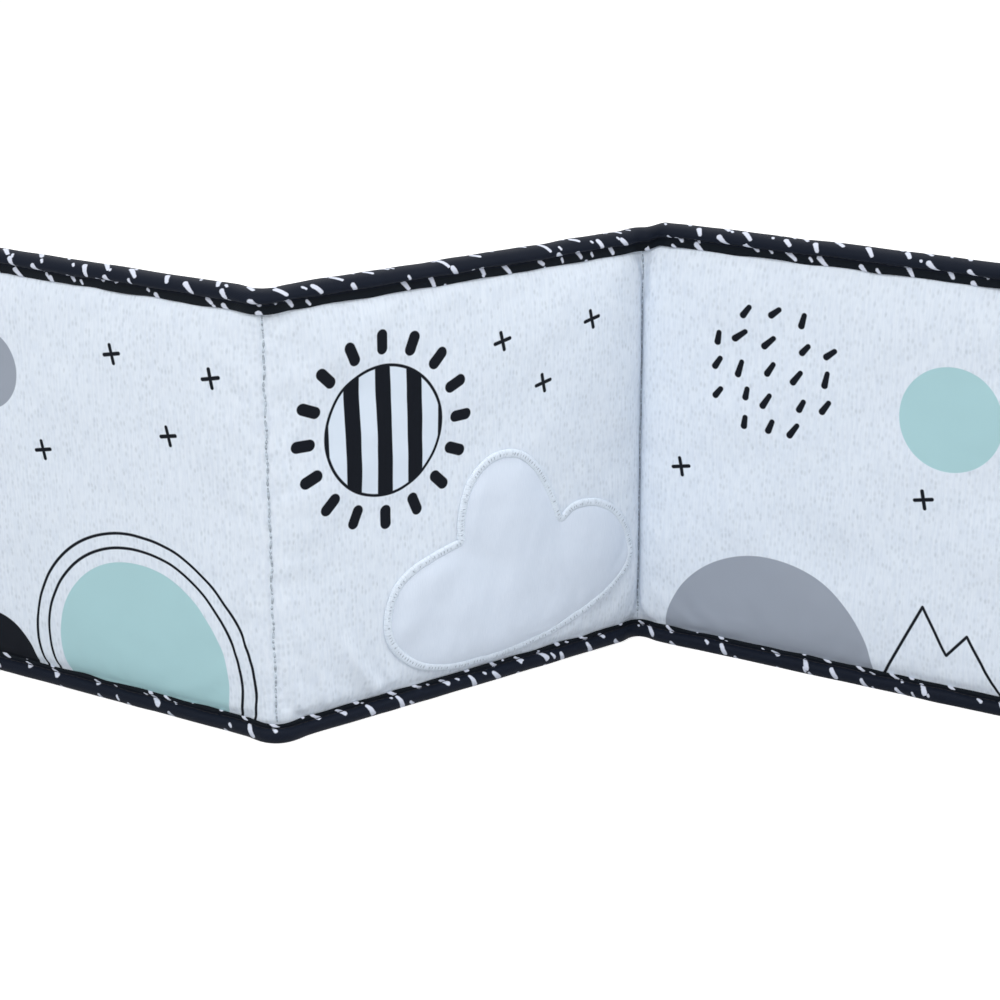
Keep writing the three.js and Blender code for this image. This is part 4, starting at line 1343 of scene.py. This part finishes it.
def satin_rise(rim):
    """How the satin swells inside its border: simulated on a grid that is held outside the rim, where
    the bearings of the rim's points, added up step by step, don't go once round."""
    low, high = rim.min(0) - sim_gap, rim.max(0) + sim_gap
    s, z = np.meshgrid(*(np.arange(a, b, sim_gap) for a, b in zip(low, high)), indexing="ij")
    bearing = np.arctan2(rim[:, 1] - z[..., None], rim[:, 0] - s[..., None])
    steps = np.diff(bearing, axis=-1, append=bearing[..., :1])
    outside = np.abs(np.sum((steps + math.pi) % (2 * math.pi) - math.pi, axis=-1)) < math.pi
    rise = let_swell("satin_grid", s, z, np.zeros(s.shape), outside, slack=0.008, push=8)
    return low, split(rise, outside, limit=patch_swell, share=0.3)


def satin_patch():
    """Rings between the outline and a middle point; the top rises by the distance from the outline and
    by the simulated swelling."""
    rim = inside_cloud(np.array([patch_inset]))[::rim_stride, 0]
    middle = (rim.min(0) + rim.max(0)) / 2 - (0, middle_drop)  # all the outline can be seen from there
    below, above = [innermost_share, 0.5], np.linspace(1, innermost_share, ring_count)
    shares = np.concatenate([below, above])
    spots = middle + shares[:, None, None] * (rim - middle)
    inside = np.stack([np.linalg.norm(ring[:, None] - rim[None], axis=-1).min(1) for ring in spots])
    low, swollen = satin_rise(rim)
    puff = read_off(swollen, *low, spots[..., 0], spots[..., 1])
    ease = patch_ease * waves((spots[..., 0], spots[..., 1]), *ease_lengths, seed=61)
    pillow = (patch_puff - patch_edge) * swell(inside, puff_reach, puff_power)
    rise = patch_edge + pillow + puff + smooth(inside / ease_reach) * ease
    rise[: len(below)] = patch_under
    points = on_front(spots, rise)
    return make("cloud_satin_patch", (points, carried_faces(*rise.shape), spots, satin))


patch = satin_patch()
bend_at(patch, 1)
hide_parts("cloud_patch")

# %% [markdown]
# ## The studio
# The book stands on a white floor in soft light, as in a catalogue. Most of the light comes from all
# round, so that colours show as they are written, and four large soft lamps model the padding: one on
# the left, which is the strongest, one in front, one on the right and one behind. The camera sees
# floor and background as white, and the shadow stays.

# %% Floor
FLOOR_WHITE = "#d2d2d2"
floor_glow = 0.7


def seen(tree):
    """1 for the rays that the camera sends out and for reflections, 0 for the rest."""
    rays = add(tree, "LightPath").outputs
    return add(tree, "Math", rays["Is Camera Ray"], rays["Is Glossy Ray"], operation="MAXIMUM")


def floor_material():
    """Matt white that glows a little to the camera alone, so that only its shadows fall below white."""
    material = bpy.data.materials.new("white_studio_floor")
    material.use_nodes = True
    tree = material.node_tree
    tree.nodes.clear()
    matt = add(tree, "BsdfDiffuse", colour(FLOOR_WHITE))
    strength = add(tree, "Math", seen(tree), floor_glow, operation="MULTIPLY")
    glow = add(tree, "Emission", (1, 1, 1, 1), strength)
    add(tree, "OutputMaterial", add(tree, "AddShader", matt, glow))
    return material


reach = 6  # metres from the book to the floor's edge
floor_mesh = bpy.data.meshes.new("studio_floor")
corners = [(-reach, -reach, 0), (reach, -reach, 0), (reach, reach, 0), (-reach, reach, 0)]
floor_mesh.from_pydata(corners, [], [(0, 1, 2, 3)])
floor_mesh.materials.append(floor_material())
floor = bpy.data.objects.new("studio_floor", floor_mesh)
bpy.context.scene.collection.objects.link(floor)
print(f"floor: {2 * reach} m square")

# %% Light
ambient = 0.4  # the world's strength; it shows as a white of strength 1
world = bpy.data.worlds.new("studio")
bpy.context.scene.world = world
world.use_nodes = True
sky = world.node_tree
sky.nodes.clear()
strength = add(sky, "Math", seen(sky), 1 - ambient, ambient, operation="MULTIPLY_ADD")
add(sky, "OutputWorld", add(sky, "Background", (1, 1, 1, 1), strength))


def lamp(name, place, size, power):
    """A square soft lamp at a place, turned to face the middle of the book."""
    light = bpy.data.lights.new(name, "AREA")
    light.size = size
    light.energy = power
    holder = bpy.data.objects.new(name, light)
    bpy.context.scene.collection.objects.link(holder)
    holder.location = place
    aim = -holder.location + Vector((0, 0, middle_height * MM))
    holder.rotation_euler = aim.to_track_quat("-Z", "Y").to_euler()
    print(f"{name}: {size} m across, {power} W, {aim.length:.2f} m away")


lamp("left_lamp", (-0.8, -0.89, 1.29), 0.9, 12)
lamp("front_lamp", (-0.15, -1.09, 1.39), 1, 7)
lamp("right_lamp", (1.18, -0.32, 1.12), 1, 10.8)
lamp("back_lamp", (-0.1, 1.15, 1.35), 1, 9)

# %% Camera
camera_place = (-27.84, -846.03, page_foot + 382.17)  # mm, from the fit to the photographed edges
camera_down, camera_right = 20.06, 2.77  # degrees below level and right of straight ahead
camera_data = bpy.data.cameras.new("camera")
camera_data.sensor_width = 36
camera_data.lens = 80.76
camera_data.clip_start = 0.05  # metres
camera = bpy.data.objects.new("camera", camera_data)
bpy.context.scene.collection.objects.link(camera)
camera.location = [v * MM for v in camera_place]
camera.rotation_euler = (math.radians(90 - camera_down), 0, math.radians(-camera_right))
bpy.context.scene.camera = camera
print(f"camera: {camera.location.length:.2f} m from the book, {camera_data.lens} mm lens")
bpy.context.scene.view_settings.view_transform = "Standard"
